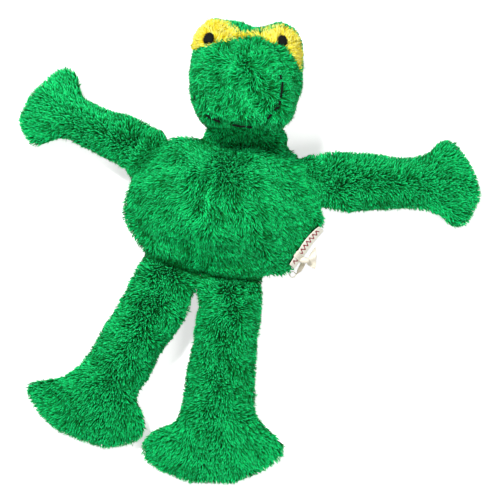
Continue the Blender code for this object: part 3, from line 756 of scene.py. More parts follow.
def kinds_of(form, panels, root):
    """The numbers of the pile at each root, blended at the wrists and ankles."""
    facts = {k: np.array(v) for k, v in PILES.items()}
    if form == "body":
        return np.tile(facts["body"], (len(root), 1))
    if form == "head":
        return np.array([facts[kind] for kind in ("face", "chin", "rim", "eyes")])[panels]
    first = PALM_START[form]
    palm = smooth_step(first - 0.1, first + 0.15, share_along(form, root))[:, None]
    return facts["limb"] * (1 - palm) + facts["palm"] * palm


# %% [markdown]
# ## One strand, and many at once
# A strand is a thin spike with three sides that bends over towards its blunt tip. One at a time, in
# a loop, a hundred thousand of them would take minutes. With arrays, every strand of a panel is
# made in the same few lines: rings of three points along a curve, and a point at the tip. The map
# on each strand runs from root to tip one way and by the strand's own tone the other way, so that a
# material can paint shade at the roots and make the tips light.

# %% Make a mesh from arrays
RINGS = np.array([0.0, 0.48, 0.86])
TAPER = np.array([0.75, 1.00, 0.72])
SIDES = 3


def strand_faces(count):
    """Corners of the faces of so many strands, and how many corners each face has."""
    rings = len(RINGS)
    quads = [
        (r * SIDES + i, r * SIDES + (i + 1) % SIDES,
         (r + 1) * SIDES + (i + 1) % SIDES, (r + 1) * SIDES + i)
        for r in range(rings - 1) for i in range(SIDES)
    ]
    last = (rings - 1) * SIDES
    tips = [(last + i, last + (i + 1) % SIDES, rings * SIDES) for i in range(SIDES)]
    flat = np.array([corner for face in quads + tips for corner in face])
    sizes = np.array([4] * len(quads) + [3] * len(tips))
    per_strand = rings * SIDES + 1
    corners = (flat[None] + np.arange(count)[:, None] * per_strand).ravel()
    return corners, np.tile(sizes, count), flat


def array_mesh(name, places, corners, sizes, spots=None):
    mesh = bpy.data.meshes.new(name)
    mesh.vertices.add(len(places))
    mesh.vertices.foreach_set("co", places.astype(np.float32).ravel())
    mesh.loops.add(len(corners))
    mesh.loops.foreach_set("vertex_index", corners.astype(np.int32))
    mesh.polygons.add(len(sizes))
    starts = np.concatenate([[0], np.cumsum(sizes)[:-1]])
    mesh.polygons.foreach_set("loop_start", starts.astype(np.int32))
    if spots is not None:
        layer = mesh.uv_layers.new(name="OFBake")
        layer.uv.foreach_set("vector", spots.astype(np.float32).ravel())
    mesh.update(calc_edges=True)
    mesh.shade_smooth()
    return mesh


def strand_mesh(name, root, out, bend, width, tone):
    """Mesh of strands that leave their roots along out and bend over by bend."""
    count = len(root)
    along = unit(out + bend)
    across = unit(np.cross(along, rng.normal(size=(count, 3))))
    deep = np.cross(along, across)
    turn = np.arange(SIDES) * 2 * math.pi / SIDES
    ring = (across[:, None] * np.cos(turn)[None, :, None]
            + deep[:, None] * np.sin(turn)[None, :, None] * 0.8)
    spine = root[:, None] + out[:, None] * RINGS[:, None] + bend[:, None] * (RINGS**2)[:, None]
    size = width[:, None, None, None] / 2 * TAPER[None, :, None, None]
    body = (spine[:, :, None] + ring[:, None] * size).reshape(count, -1, 3)
    tip = (root + out + bend)[:, None]
    places = np.concatenate([body, tip], 1).reshape(-1, 3)
    places[:, 2] = np.maximum(places[:, 2], FLOOR_GAP / 2)
    corners, sizes, flat = strand_faces(count)
    ring_of = np.append(np.repeat(RINGS, SIDES), 1.0)[flat]
    side_of = np.append(np.tile(np.arange(SIDES), len(RINGS)), 1)[flat]
    spots = np.empty((count, len(flat), 2))
    spots[:, :, 0] = 0.02 + 0.96 * ring_of
    spots[:, :, 1] = 0.02 + 0.94 * tone[:, None] + 0.008 * side_of
    return array_mesh(name, places, corners, sizes, spots.reshape(-1, 2))


# %% Keep strands off the floor and draw them into tufts
def settle_on_floor(root, out):
    """Strands that would pass the floor lie down on it instead, at their full length."""
    length = np.linalg.norm(out, axis=1)
    room = np.maximum(root[:, 2] - 2 * FLOOR_GAP, 0)
    down = np.minimum(-out[:, 2], room)
    low = -out[:, 2] > room
    flat = out[:, :2]
    reach = np.sqrt(np.maximum(length**2 - down**2, 0))
    scale = reach / np.maximum(np.linalg.norm(flat, axis=1), 1e-9)
    laid = np.concatenate([flat * scale[:, None], -down[:, None]], 1)
    return np.where(low[:, None], laid, out)


def tuft(root, tip, share):
    """Moves each tip part of the way to the tip of the nearest strand that leads a tuft."""
    leaders = first_in_cells(root, TUFT_SPACING)
    tree = KDTree(len(leaders))
    for i, leader in enumerate(leaders):
        tree.insert(root[leader], i)
    tree.balance()
    nearest = leaders[np.array([tree.find(p)[1] for p in root])]
    return tip + (tip[nearest] - tip) * share[:, None], nearest


# %% The label's plane, which the body's strands stay behind
LABEL_FOOT = np.array([(0.0612, -0.0498, 0.0303), (0.0854, -0.0181, 0.0303)])
LABEL_TOP = np.array([(0.0559, -0.0457, 0.0402), (0.0801, -0.0140, 0.0402)])
label_way = unit(LABEL_FOOT[1] - LABEL_FOOT[0])
label_rise = unit(LABEL_TOP[0] - LABEL_FOOT[0])
label_out = unit(np.cross(label_rise, label_way))
label_out *= np.sign(label_out[2])
LABEL_LENGTH = np.linalg.norm(LABEL_FOOT[1] - LABEL_FOOT[0])
LABEL_WIDTH = np.linalg.norm(LABEL_TOP[0] - LABEL_FOOT[0])
print("label", round(LABEL_LENGTH * 1000, 1), "x", round(LABEL_WIDTH * 1000, 1), "mm")


def stay_behind_label(root, out):
    """Shortens strands that would stick out through the woven label, or hide most of it."""
    start = (root - LABEL_FOOT[0]) @ label_out
    end = (root + out - LABEL_FOOT[0]) @ label_out
    share = np.clip(-start / np.where(np.abs(end - start) < 1e-9, 1e-9, end - start), 0, 1)
    cross = root + out * share[:, None] - LABEL_FOOT[0]
    along, up = cross @ label_way, cross @ label_rise
    beside = (along > -0.001) & (along < LABEL_LENGTH + 0.001)
    pierce = (start < 0) & (end > 0) & beside & (up > -0.002) & (up < LABEL_WIDTH * 0.85)
    keep = np.where(pierce, share * 0.8, 1.0)
    spots = as_seen(root + out)
    foot, top = as_seen(LABEL_FOOT), as_seen(LABEL_TOP)
    edge = foot * 0.06 + top * 0.94
    patch = np.array([edge[0], edge[1], 2 * foot[1] - edge[1], 2 * foot[0] - edge[0]])
    keep = np.where(inside(spots, patch), np.minimum(keep, 0.30), keep)
    return out * keep[:, None]


# %% Where the pupils are sewn on
# middle as the camera sees it, half width, half height and turn in degrees
PUPILS = {
    "left_pupil": ((-0.0110, 0.1459), 0.0038, 0.0051, -16),
    "right_pupil": ((0.0516, 0.1440), 0.0034, 0.0049, 14),
}


def under_pupils(root):
    spots = as_seen(root)
    covered = np.zeros(len(root), bool)
    for middle, wide, high, _ in PUPILS.values():
        away = (spots - np.array(middle)) / np.array([wide, high])
        covered |= np.linalg.norm(away, axis=1) < 0.9
    return covered & (root[:, 2] > 0.03)


# %% Where the mouth's thread shows
# ends of each bit that shows, as the camera sees them, how high it comes up out of the skin, and
# how far it hangs forward over the lip, from the left cheek round to the right one
STITCHES = [
    ((-0.0232, 0.1176), (-0.0230, 0.1146), 0.0044, 0),
    ((-0.0243, 0.1002), (-0.0228, 0.0953), 0.0044, 0),
    ((-0.0130, 0.0814), (-0.0103, 0.0790), 0.0034, 0.0020),
    ((-0.0064, 0.0777), (-0.0024, 0.0760), 0.0034, 0.0030),
    ((0.0099, 0.0730), (0.0136, 0.0723), 0.0028, 0.0040),
    ((0.0148, 0.0721), (0.0240, 0.0714), 0.0028, 0.0041),
    ((0.0394, 0.0788), (0.0418, 0.0813), 0.0032, 0.0020),
    ((0.0457, 0.0863), (0.0482, 0.0881), 0.0031, 0.0010),
    ((0.0493, 0.0904), (0.0499, 0.0925), 0.0030, 0),
    ((0.0509, 0.0985), (0.0521, 0.1086), 0.0031, 0),
    ((0.0509, 0.1130), (0.0503, 0.1152), 0.0030, 0),
]


def part_over_stitches(root, out):
    """Shortens strands that would hide the bits of thread that show."""
    over = np.zeros(len(root))
    for first, last, _, _ in STITCHES:
        for share in (0.6, 1.0):
            spots = as_seen(root + out * share)
            over = np.maximum(over, near_line(spots, np.array([first, last]), 0.0017))
    return out * (1 - 0.6 * over)[:, None]


# %% Grow the pile of one form
STRANDS_PER_PIECE = 13000
HEAD_SPACING = ROOT_SPACING * 0.92
# how far from the belly's seam the pile is parted, and how far it is shorter
SEAM_REACH = 0.0018
BESIDE_SEAM_REACH = 0.0042
LID_REACH = 0.0065
# how light the pile of each panel of the head is, the chin's darker tone being painted shade, and
# how much lighter limbs get to their tips
HEAD_TONES_WITH_CHIN_SHADE = np.array([-0.02, -0.12, 0.0, 0.1])
PALER_TIPS = {"left_arm": 0.34, "right_arm": 0.34, "left_leg": 0.22, "right_leg": 0.22}


def grow(form):
    root, normal = throw_roots(skins[form], HEAD_SPACING if form == "head" else ROOT_SPACING)
    if form == "head":
        bare = under_pupils(root)
        root, normal = root[~bare], normal[~bare]
    panels = panel_at(form, root, normal)
    facts = kinds_of(form, panels, root)
    length, lean, swirl, curl, tufts, width = facts.T
    crease = near_crease(root)
    seam = near_belly_seam(root, SEAM_REACH) * (form == "body")
    beside_seam = (near_belly_seam(root, BESIDE_SEAM_REACH) - seam) * (form == "body")
    # at the sides of a form the strands are flatter and shorter, so that its outline is smooth
    side = (1 - np.abs(normal[:, 2])) ** 2
    lean = lean * (1 + 0.8 * side) * (1 + 0.3 * seam)
    length = length * rng.uniform(0.88, 1.10, len(root))
    length *= (1 - 0.45 * crease) * (1 - 0.26 * side) * (1 - 0.45 * beside_seam)
    if form == "head":
        # below the lids the face's pile is short, so that it doesn't hide the yellow
        lid = near_line(as_seen(root), LID_LINE, LID_REACH) * (panels == 0)
        length, lean = length * (1 - 0.5 * lid), lean * (1 - 0.5 * lid)
    comb = np.zeros_like(root)
    for index, panel in enumerate(FORMS[form]):
        mine = panels == index
        comb[mine] = comb_direction(form, panel, root[mine])
    comb[:, 2] -= 0.5 * side
    comb -= normal * (comb * normal).sum(1)[:, None]
    angle = waves(root, 0.026, 3)[:, 0] + waves(root, 0.011, 4)[:, 0] * 0.6
    comb = turned(comb, normal, angle * swirl)
    size = np.linalg.norm(comb, axis=1)
    comb = unit(comb) * np.clip(size, 0.35, 1.2)[:, None]
    jitter = rng.normal(size=root.shape) * (0.28 if form == "head" else 0.14)
    direction = unit(normal + comb * lean[:, None] + jitter)
    out = settle_on_floor(root, direction * length[:, None] * 0.8)
    aside = np.cross(normal, comb) * (rng.normal(size=len(root)) * curl)[:, None]
    bend_way = comb * 0.25 + aside + rng.normal(size=root.shape) * 0.12 + np.array([0, 0, -0.08])
    bend = bend_way * length[:, None]
    tip, leader = tuft(root, root + out + bend, tufts)
    bend = tip - root - out
    if form in ("body", "head"):
        shorten = stay_behind_label if form == "body" else part_over_stitches
        kept = shorten(root, out + bend)
        shorter = np.linalg.norm(kept, axis=1) / np.linalg.norm(out + bend, axis=1)
        out, bend = out * shorter[:, None], bend * shorter[:, None]
    floor_room = np.maximum(root[:, 2] + out[:, 2] - FLOOR_GAP, 0)
    bend[:, 2] = np.maximum(bend[:, 2], -floor_room)
    # tone: random waves, painted shade in the creases, a painted highlight along the belly's seam,
    # painted shade beside it, and on the head painted shade on the chin
    tone_and_painted_light = 0.5 + 0.18 * waves(root, 0.022, 5)[:, 0] - 0.60 * crease
    tone_and_painted_light += 1.10 * seam - 0.15 * beside_seam
    if form == "head":
        tone_and_painted_light += HEAD_TONES_WITH_CHIN_SHADE[panels]
    elif form != "body":
        tip_share = smooth_step(PALM_START[form] - 0.05, 1.0, share_along(form, root))
        tone_and_painted_light += PALER_TIPS[form] * tip_share
    tuft_tone = rng.normal(size=len(root))[leader] * 0.12
    spread = 0.60 if form == "head" else 0.46
    tone = np.clip(tone_and_painted_light + tuft_tone + rng.normal(size=len(root)) * spread, 0, 1)
    width = width * rng.uniform(0.75, 1.2, len(root))
    made = []
    for index, panel in enumerate(FORMS[form]):
        mine = np.nonzero(panels == index)[0]
        mine = mine[np.argsort(root[mine, 0])]
        parts = max(1, math.ceil(len(mine) / STRANDS_PER_PIECE))
        for part, some in enumerate(np.array_split(mine, parts)):
            name = panel.replace("_panel", "") + "_pile" + (f"_{part + 1}" if parts > 1 else "")
            mesh = strand_mesh(name, root[some], out[some], bend[some], width[some], tone[some])
            made.append((placed(name, mesh), panel))
    print(form, len(root), "strands in", len(made), "pieces")
    return made


piles = {form: grow(form) for form in FORMS}

# %% [markdown]
# ## The colours of the cloth
# A strand is painted dark near its root, as painted shade where its neighbours shade it, and light
# at its tip, where the green's palest stop is a painted highlight, and each strand has its own
# tone. Both are read from the map on the strand. Two ramps run from root to tip, one for dark
# strands and one for light ones, and the strand's tone mixes them.


# %% Pile material
def map_ways(dye):
    """The map's two numbers, the first of which runs along a strand or a ribbon."""
    spot = dye.node("ShaderNodeUVMap", {"uv_map": "OFBake"})
    apart = dye.node("ShaderNodeSeparateXYZ", None, {0: spot})
    return apart, Dye(dye.tree, apart.socket.node.outputs["Y"])


def pile_material(name, dark, light):
    material, dye = new_material(name)
    along, tone = map_ways(dye)
    # both ramps paint shade at the root and run lighter to the tip
    low = dye.node("ShaderNodeValToRGB", {"stops": dark}, {0: along})
    high = dye.node("ShaderNodeValToRGB", {"stops": light}, {0: along})
    colour = tone.blend(low, high)
    cover(dye, {"Base Color": colour, "Roughness": 0.80 - along * 0.20,
                "Specular IOR Level": 0.10})
    return material


# the light ramp's pale last stop is a painted highlight at the tips
green_pile = pile_material(
    "green_pile",
    [(0.0, (0.0, 0.005, 0.0003)), (0.45, (0.0, 0.070, 0.008)), (1.0, (0.0003, 0.250, 0.036))],
    [(0.0, (0.0, 0.030, 0.004)), (0.45, (0.0005, 0.430, 0.082)), (0.82, (0.006, 0.930, 0.260)),
     (1.0, (0.110, 1.000, 0.460))],
)
yellow_pile = pile_material(
    "yellow_pile",
    [(0.0, (0.45, 0.26, 0.001)), (0.45, (0.88, 0.68, 0.010)), (1.0, (0.98, 0.86, 0.035))],
    [(0.0, (0.85, 0.62, 0.006)), (0.45, (1.00, 0.93, 0.090)), (1.0, (1.00, 0.99, 0.340))],
)


# %% Backing material
def backing_material(name, dark, light):
    """Knitted backing, with rows of small loops."""
    material, dye = new_material(name)
    place = dye.node("ShaderNodeTexCoord", None, None, output=3)
    mottle = dye.node("ShaderNodeTexNoise", None, {"Vector": place, "Scale": 90.0, "Detail": 3.0})
    rows = dye.node(
        "ShaderNodeTexWave", {"wave_type": "BANDS"},
        {"Vector": place, "Scale": 260.0, "Distortion": 2.0, "Detail": 1.0},
        output=1,
    )
    share = mottle * 0.6 + rows * 0.4
    bump = dye.node("ShaderNodeBump", None, {"Strength": 0.5, "Distance": 0.0003, "Height": rows})
    cover(dye, {"Base Color": share.blend((*dark, 1), (*light, 1)),
                "Roughness": 0.85 + mottle * 0.12, "Normal": bump, "Specular IOR Level": 0.1})
    return material


green_backing = backing_material("green_backing", (0.0, 0.020, 0.003), (0.001, 0.060, 0.012))
yellow_backing = backing_material("yellow_backing", (0.45, 0.28, 0.004), (0.75, 0.52, 0.02))

# %% Paint the skins and the pile
for form, obj in skins.items():
    obj.data.materials.clear()
    obj.data.materials.append(green_backing)
    if form == "head":
        obj.data.materials.append(yellow_backing)
        middles = np.array([p.center for p in obj.data.polygons])
        normals = np.array([p.normal for p in obj.data.polygons])
        yellow = FORMS[form].index("eye_band")
        kinds = (panel_at(form, middles, normals) == yellow).astype(np.int32)
        obj.data.polygons.foreach_set("material_index", kinds)
for form, made in piles.items():
    for obj, panel in made:
        obj.data.materials.append(yellow_pile if panel == "eye_band" else green_pile)

# %% [markdown]
# ## Felt pupils
# Each pupil is a small thick pad of black felt, sewn on where the yellow meets the green. Felt is
# matted wool, so it has soft rounded edges and a nap of its own, and next to the shiny eyes of
# other toys it looks dull and deep. The pad is a grid of rings, and very short strands make its
# nap.

# %% Find the skin below a place that the camera sees
skin_trees = {}


def surface_at(form, spot):
    """The point of a form's skin that the camera sees there, and the direction out of it."""
    if form not in skin_trees:
        skin_trees[form] = tree_of(skins[form].data)
    eye = Vector((*VIEW_CENTRE, VIEW_HEIGHT))
    way = (Vector((*spot, 0)) - eye).normalized()
    place, normal = skin_trees[form].ray_cast(eye, way)[:2]
    if place is None:
        place, normal = skin_trees[form].find_nearest(Vector((*spot, 0.05)))[:2]
        place = Vector(place)
    return np.array(place), unit(np.array(normal))


# %% One felt pad
PAD_RINGS = np.array([0.0, 0.25, 0.5, 0.72, 0.88, 0.97, 1.0, 1.0, 0.96])
PAD_HEIGHTS = np.array([1.0, 0.995, 0.97, 0.92, 0.84, 0.70, 0.50, 0.20, -0.15])
PAD_HEIGHT = 0.0056
PAD_STEPS = 32


def felt_pad(name):
    middle, wide, high, turn = PUPILS[name]
    place, normal = surface_at("head", middle)
    lean = unit(normal + np.array([0, 0, 0.8]))
    side = unit(np.cross(np.array([0.0, 1.0, 0.0]), lean))
    up = np.cross(lean, side)
    angle = np.arange(PAD_STEPS) * 2 * math.pi / PAD_STEPS
    x, y = np.cos(angle), np.sin(angle)
    round_it = 1 / (np.abs(x) ** 2.7 + np.abs(y) ** 2.7) ** (1 / 2.7)
    x, y = x * round_it * wide * 0.93, y * round_it * high * 0.93
    x = x * (1 - 0.13 * np.sin(angle))
    y = np.where(y < 0, y * 0.82, y)
    turn = math.radians(turn)
    x, y = x * math.cos(turn) - y * math.sin(turn), x * math.sin(turn) + y * math.cos(turn)
    rim = x[:, None] * side + y[:, None] * up
    rings = place + rim[None] * PAD_RINGS[1:, None, None]
    rings = rings + lean * (PAD_HEIGHTS[1:, None, None] * PAD_HEIGHT)
    bm = bmesh.new()
    top = bm.verts.new(place + lean * PAD_HEIGHT)
    rows = [[bm.verts.new(p) for p in ring] for ring in rings]
    bottom = bm.verts.new(place + lean * PAD_HEIGHTS[-1] * PAD_HEIGHT)
    for i in range(PAD_STEPS):
        j = (i + 1) % PAD_STEPS
        bm.faces.new((top, rows[0][i], rows[0][j]))
        for above, below in zip(rows, rows[1:]):
            bm.faces.new((above[i], below[i], below[j], above[j]))
        bm.faces.new((rows[-1][i], bottom, rows[-1][j]))
    bmesh.ops.recalc_face_normals(bm, faces=bm.faces)
    mesh = mesh_of(name + "_felt", bm)
    places = points_of(mesh)
    places += waves(places, 0.0035, 21) * 0.00022
    mesh.vertices.foreach_set("co", places.ravel())
    mesh.shade_smooth()
    return placed(name + "_felt", mesh)


NAP_SPACING = 0.00055
NAP_LENGTH = 0.0009
NAP_WIDTH = 0.0003
NAP_BEND = 0.0003


def felt_nap(name, pad):
    root, normal = throw_roots(pad, NAP_SPACING)
    out = unit(normal + rng.normal(size=root.shape) * 0.55) * NAP_LENGTH
    bend = rng.normal(size=root.shape) * NAP_BEND
    width = np.full(len(root), NAP_WIDTH)
    mesh = strand_mesh(name + "_nap", root, out, bend, width, rng.random(len(root)))
    return placed(name + "_nap", mesh)


pads = {name: felt_pad(name) for name in PUPILS}
naps = {name: felt_nap(name, pad) for name, pad in pads.items()}
print({obj.name: len(obj.data.polygons) for obj in naps.values()})

# %% Felt material
felt, dye = new_material("black_felt")
place = dye.node("ShaderNodeTexCoord", None, None, output=3)
fluff = dye.node("ShaderNodeTexNoise", None, {"Vector": place, "Scale": 900.0, "Detail": 4.0})
patches = dye.node("ShaderNodeTexNoise", None, {"Vector": place, "Scale": 220.0, "Detail": 2.0})
share = fluff * 0.6 + patches * 0.4
bump = dye.node("ShaderNodeBump", None, {"Strength": 0.8, "Distance": 0.0004, "Height": fluff})
cover(dye, {"Base Color": share.blend((0.004, 0.006, 0.005, 1), (0.018, 0.022, 0.019, 1)),
            "Roughness": 0.86 + patches * 0.12, "Normal": bump, "Specular IOR Level": 0.15})
felt_strands = pile_material(
    "black_felt_nap",
    [(0.0, (0.003, 0.004, 0.003)), (1.0, (0.008, 0.010, 0.008))],
    [(0.0, (0.006, 0.008, 0.007)), (1.0, (0.024, 0.028, 0.024))],
)
for name in PUPILS:
    pads[name].data.materials.append(felt)
    naps[name].data.materials.append(felt_strands)

# %% [markdown]
# ## The mouth's thread
# The mouth is one black thread, stitched along the lower edge of the face. Most of it has sunk into
# the pile and shows only in places, as short dark bits. So it is one twisted tube that runs along
# the skin and comes up to the tips of the pile at each bit that shows.

# %% Route of the thread
SINKS_TO = 0.0006
THREAD_RADIUS = 0.00075


def thread_route():
    route = []
    for first, last, high, forward in STITCHES:
        first, last = np.array(first), np.array(last)
        step = (last - first) / np.linalg.norm(last - first) * 0.0014
        row = [(first - step, SINKS_TO), (first, high * 0.9), ((first + last) / 2, high),
               (last, high * 0.9), (last + step, SINKS_TO)]
        for spot, lift in row:
            place = surface_at("head", spot + np.array([0, forward]))[0]
            hang = forward * (1 - place[2] / VIEW_HEIGHT)
            sink = 0.0040 * (1 - lift / high) * (forward > 0)
            to_eye = unit(np.array([*VIEW_CENTRE, VIEW_HEIGHT]) - place)
            route.append(place + to_eye * (lift - sink) - np.array([0, hang, 0]))
    return np.array(route)


# %% A smooth tube of two plies
def smooth_line(points, per_span):
    """A curve through the points, with so many steps from each to the next."""
    before = np.concatenate([points[:1], points[:-1]])
    after = np.concatenate([points[1:], points[-1:]])
    later = np.concatenate([points[2:], points[-1:], points[-1:]])
    line = []
    for t in np.arange(per_span) / per_span:
        line.append(0.5 * (2 * points + (after - before) * t
                           + (2 * before - 5 * points + 4 * after - later) * t**2
                           + (3 * points - before - 3 * after + later) * t**3))
    line = np.stack(line, 1)[:-1].reshape(-1, 3)
    return np.concatenate([line, points[-1:]])


def yarn(name, line, radius, sides=10, twist=1900.0):
    """A closed tube along a line, with two lobes that wind round it like plies."""
    along = unit(np.gradient(line, axis=0))
    far = np.concatenate([[0], np.cumsum(np.linalg.norm(np.diff(line, axis=0), axis=1))])
    side = unit(np.cross(along, np.array([0.13, 0.21, 0.97])))
    deep = np.cross(along, side)
    turn = np.arange(sides) * 2 * math.pi / sides
    lobes = 1 + 0.22 * np.cos(2 * (turn[None] - far[:, None] * twist))
    ends = np.minimum(1, np.minimum(far, far[-1] - far) / (radius * 1.5) + 0.15)
    size = (lobes * ends[:, None] * radius)[:, :, None]
    places = line[:, None] + size * (side[:, None] * np.cos(turn)[None, :, None]
                                     + deep[:, None] * np.sin(turn)[None, :, None])
    bm = bmesh.new()
    rows = [[bm.verts.new(p) for p in ring] for ring in places]
    for here, there in zip(rows, rows[1:]):
        for i in range(sides):
            j = (i + 1) % sides
            bm.faces.new((here[i], here[j], there[j], there[i]))
    bm.faces.new(rows[0][::-1])
    bm.faces.new(rows[-1])
    bmesh.ops.recalc_face_normals(bm, faces=bm.faces)
    mesh = mesh_of(name, bm)
    mesh.shade_smooth()
    return placed(name, mesh)


mouth_line = smooth_line(thread_route(), 10)
mouth = yarn("mouth_stitches", mouth_line, THREAD_RADIUS)
print("thread", round(float(np.linalg.norm(np.diff(mouth_line, axis=0), axis=1).sum()), 3), "m")

# %% Thread material
thread_paint, dye = new_material("black_thread")
place = dye.node("ShaderNodeTexCoord", None, None, output=3)
fibres = dye.node("ShaderNodeTexNoise", None, {"Vector": place, "Scale": 1500.0, "Detail": 3.0})
bump = dye.node("ShaderNodeBump", None, {"Strength": 0.6, "Distance": 0.0002, "Height": fibres})
cover(dye, {"Base Color": fibres.blend((0.001, 0.002, 0.002, 1), (0.008, 0.012, 0.010, 1)),
            "Roughness": 0.70 + fibres * 0.25, "Normal": bump, "Specular IOR Level": 0.08})
mouth.data.materials.append(thread_paint)

# %% [markdown]
# ## The two labels
# A woven label is sewn into the side seam and leans on the belly's pile. A softer ribbon is tied
# round it in a knot, with its two ends spread below. Both are flat ribbons a third of a millimetre
# thick. Each is made from a grid of points on its middle surface, which is then given a front, a
# back and edges. The map runs along the ribbon one way and across it the other way, with the front
# and the back beside each other, so that the weave and the woven border follow every fold.

# %% A ribbon from a grid of points
RIBBON_THICKNESS = 0.00035


def ribbon_parts(middle, thick):
    """Points, faces and map of a closed strip about a grid of points."""
    rows, cols = middle.shape[:2]
    normal = unit(np.cross(np.gradient(middle, axis=0), np.gradient(middle, axis=1)))
    sheets = np.concatenate([(middle + normal * thick / 2).reshape(-1, 3),
                             (middle - normal * thick / 2).reshape(-1, 3)])
    number = np.arange(rows * cols).reshape(rows, cols)
    other = number + rows * cols
    u = np.repeat(np.linspace(0.01, 0.99, rows), cols)
    v = np.tile(np.linspace(0, 1, cols), rows)
    spots = np.concatenate([np.stack([u, 0.02 + 0.44 * v], 1), np.stack([u, 0.98 - 0.44 * v], 1)])
    faces = []
    for i in range(rows - 1):
        for j in range(cols - 1):
            a, b, c, d = number[i, j], number[i + 1, j], number[i + 1, j + 1], number[i, j + 1]
            faces.append((a, b, c, d))
            faces.append(tuple(other.flat[k] for k in (d, c, b, a)))
    border = ([(i, 0) for i in range(rows)] + [(rows - 1, j) for j in range(1, cols)]
              + [(i, cols - 1) for i in range(rows - 2, -1, -1)]
              + [(0, j) for j in range(cols - 2, 0, -1)])
    for here, there in zip(border, border[1:] + border[:1]):
        faces.append((number[there], number[here], other[here], other[there]))
    return sheets, faces, spots


def ribbon_object(name, strips):
    """One mesh object from several strips."""
    points, faces, spots = [], [], []
    shift = 0
    for middle, thick in strips:
        some, joined, places = ribbon_parts(middle, thick)
        points.append(some)
        faces += [tuple(shift + k for k in face) for face in joined]
        spots.append(places)
        shift += len(some)
    spots = np.concatenate(spots)
    corners = np.array([k for face in faces for k in face])
    sizes = np.array([len(face) for face in faces])
    return placed(name, array_mesh(name, np.concatenate(points), corners, sizes, spots[corners]))


# %% The woven label
def woven_strip():
    """The label's middle surface: nearly flat, with corners that curl away from the belly."""
    along = np.linspace(0, 1, 41)[:, None]
    up = np.linspace(0, 1, 13)[None]
    place = (LABEL_FOOT[0] + (LABEL_FOOT[1] - LABEL_FOOT[0]) * along[..., None]
             + label_rise * LABEL_WIDTH * up[..., None])
    curl = (np.abs(2 * along - 1) ** 7) * (0.4 + up) * 0.0010
    swell = 0.0006 * np.sin(along * 7.0 + 0.6) * (0.3 + up) + 0.0005 * np.sin(math.pi * up)
    return place + label_out * (curl + swell)[..., None]


woven = ribbon_object("woven_ribbon", [(woven_strip(), RIBBON_THICKNESS)])
print("woven label faces", len(woven.data.polygons))


# %% The ribbon tied round it
def on_label(along, up, out):
    """A place given by millimetres along the label, up it, and out of its face."""
    return (LABEL_FOOT[0] + label_way * along / 1000 + label_rise * up / 1000
            + label_out * out / 1000)


def loop_round_label():
    """The part of the ribbon that goes round the label and pinches it."""
    turn = np.linspace(0, 2 * math.pi, 33)[:, None]
    across = np.linspace(-1, 1, 9)[None]
    up = 5.2 + 7.3 * np.cos(turn) + 0 * across
    out = 1.8 * np.sin(turn) + 0.45 * np.cos(across * 7) * np.abs(np.sin(turn)) + 0.25
    along = 9.6 + across * (2.5 + 0.4 * np.cos(turn)) + 0.9 * np.cos(turn)
    parts = np.stack([along, up + 0 * along, out + 0 * along], -1)
    return on_label(parts[..., :1], parts[..., 1:2], parts[..., 2:])


def knot_fold():
    """The fat fold of the knot, rolled up beside the label's outer edge."""
    turn = np.linspace(0, 7.4, 41)[:, None, None]
    across = np.linspace(-1, 1, 13)[None, :, None]
    size = (0.0026 - 0.00009 * turn) * np.sqrt(1 - 0.72 * across**2)
    way, side = unit(np.array([0.989, -0.150, -0.12])), np.array([0.150, 0.989, 0.0])
    rise = np.array([0, 0, 1.0])
    middle = np.array([0.0691, -0.0431, 0.0328])
    return middle + way * across * 0.0046 + (side * np.cos(turn) + rise * np.sin(turn)) * size


def flared_tail():
    """The short end, which spreads like a fan to the side."""
    along = np.linspace(0, 1, 17)[:, None]
    across = np.linspace(-1, 1, 17)[None]
    half = 0.0014 + 0.0080 * along**0.8
    start, end = np.array([0.0719, -0.0445, 0.0300]), np.array([0.0800, -0.0410, 0.0268])
    spread = unit(np.array([0.02, 1.0, 0.10]))
    place = start + (end - start) * along[..., None] + spread * (half * across)[..., None]
    folds = np.sin(across * 5.2 + 0.6) * along * 0.0012 + np.abs(across) ** 3 * along * 0.0012
    bow = -np.abs(across) ** 2 * along * 0.0012
    return (place + np.array([0, 0, 1.0]) * folds[..., None]
            + np.array([1.0, 0, 0]) * bow[..., None])


def looped_tail():
    """The long end, which runs down past the hip and curls into a small ring, edge up."""
    run = np.linspace(0, 1, 13)
    start, end = np.array([0.0688, -0.0455, 0.0290]), np.array([0.0620, -0.0563, 0.0230])
    sway = np.stack([np.sin(run * 3.0) * 0.0006, run * 0, -np.sin(run * 3.1) * 0.0010], 1)
    line = start + (end - start) * run[:, None] + sway
    turn = np.linspace(0.15, 5.6, 19)[1:]
    ring_way = unit((end - start) * np.array([1, 1, 0]))
    ring_side = np.array([ring_way[1], -ring_way[0], 0])
    radius = 0.0024
    ring = (line[-1] + ring_way * (np.sin(turn) * radius)[:, None]
            + ring_side * ((1 - np.cos(turn)) * radius)[:, None]
            + np.array([0, 0, -0.00006]) * turn[:, None])
    spine = np.concatenate([line, ring])
    stand = np.concatenate([smooth_step(0.2, 1.0, run), np.ones(len(turn))])[:, None]
    way = unit(np.gradient(spine, axis=0))
    flat_side = unit(np.cross(way, np.array([0, 0, 1.0])))
    wide = unit(flat_side * (1 - stand) + np.array([0, 0, 1.0]) * stand) * 0.0020
    return spine[:, None] + wide[:, None] * np.linspace(-1, 1, 7)[None, :, None]


tied = [loop_round_label(), knot_fold(), flared_tail()]
care = ribbon_object(
    "care_ribbon",
    [(part, RIBBON_THICKNESS) for part in tied] + [(looped_tail(), 2 * RIBBON_THICKNESS)],
)
print("tied ribbon faces", len(care.data.polygons))


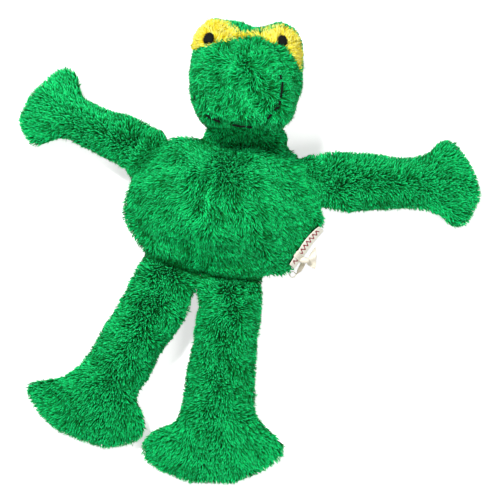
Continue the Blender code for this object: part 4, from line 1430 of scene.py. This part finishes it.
# %% Woven material, with or without a border
def ribbon_material(name, dark, light, border=None):
    """Satin ribbon: fine threads; darker patches and edges, partly stains and wear, partly painted
    shade.
    """
    material, dye = new_material(name)
    along, across = map_ways(dye)
    warp = dye.sum("SINE", across * 1300.0, 0.0)
    weft = dye.sum("SINE", along * 900.0, 0.0)
    threads = warp * weft * 0.5 + 0.5
    place = dye.node("ShaderNodeTexCoord", None, None, output=3)
    stains_and_shade = dye.node("ShaderNodeTexNoise", None, {"Vector": place, "Scale": 140.0, "Detail": 4.0})
    rim = dye.sum("ABSOLUTE", across - 0.24, 0.0) * 4.4
    wear_and_shade = dye.node("ShaderNodeMapRange", None, {0: rim, 1: 0.86, 2: 1.0, 3: 0.0, 4: 0.5})
    # the darker patches and edges are partly stains and wear, partly painted shade
    share = dye.node("ShaderNodeClamp", None, {0: threads * 0.25 + stains_and_shade * 0.9 - wear_and_shade})
    colour = share.blend((*dark, 1), (*light, 1))
    if border:
        height = (across - 0.02) * (1 / 0.44)
        swing = dye.sum("SINE", along * 66.0, 0.0) * 0.17
        away = dye.sum("ABSOLUTE", height - swing - 0.62, 0.0)
        red = (away < 0.11) * (along > 0.08) * (along < 0.92) * (0.90 + stains_and_shade * 0.2)
        colour = red.blend(colour, (*border, 1))
    bump = dye.node("ShaderNodeBump", None, {"Strength": 0.35, "Distance": 0.0001,
                                            "Height": threads})
    cover(dye, {"Base Color": colour, "Roughness": 0.62 + stains_and_shade * 0.2, "Normal": bump,
                "Specular IOR Level": 0.3})
    return material


woven.data.materials.append(ribbon_material(
    "cream_woven_label", (0.90, 0.86, 0.70), (1.00, 0.98, 0.90), border=(0.30, 0.004, 0.016)))
# the satin's dark colour is partly painted shade in its folds
care.data.materials.append(ribbon_material(
    "cream_satin_ribbon", (0.62, 0.55, 0.41), (0.96, 0.92, 0.80)))

# %% [markdown]
# ## Tie the pieces to the toy's joints
# Each limb folds about the seam where it is sewn to the body. The skin and the pile of a form ride
# on that form's body in the frame and stand for its solids, which are then hidden.

# %% Ride and replace
for name in PUPILS:
    for obj in (pads[name], naps[name]):
        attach(obj, "head")
    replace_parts(pads[name], name)
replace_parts(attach(mouth, "head"), "mouth_thread")
for obj, body in ((woven, "woven_label"), (care, "care_label")):
    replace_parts(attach(obj, body), body)
for form, obj in skins.items():
    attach(obj, form)
    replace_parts(obj, form + "_stuffing")
    for pile, panel in piles[form]:
        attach(pile, form)
        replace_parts(pile, panel)
        "yellow_pile" if panel == "eye_band" else "green_pile"
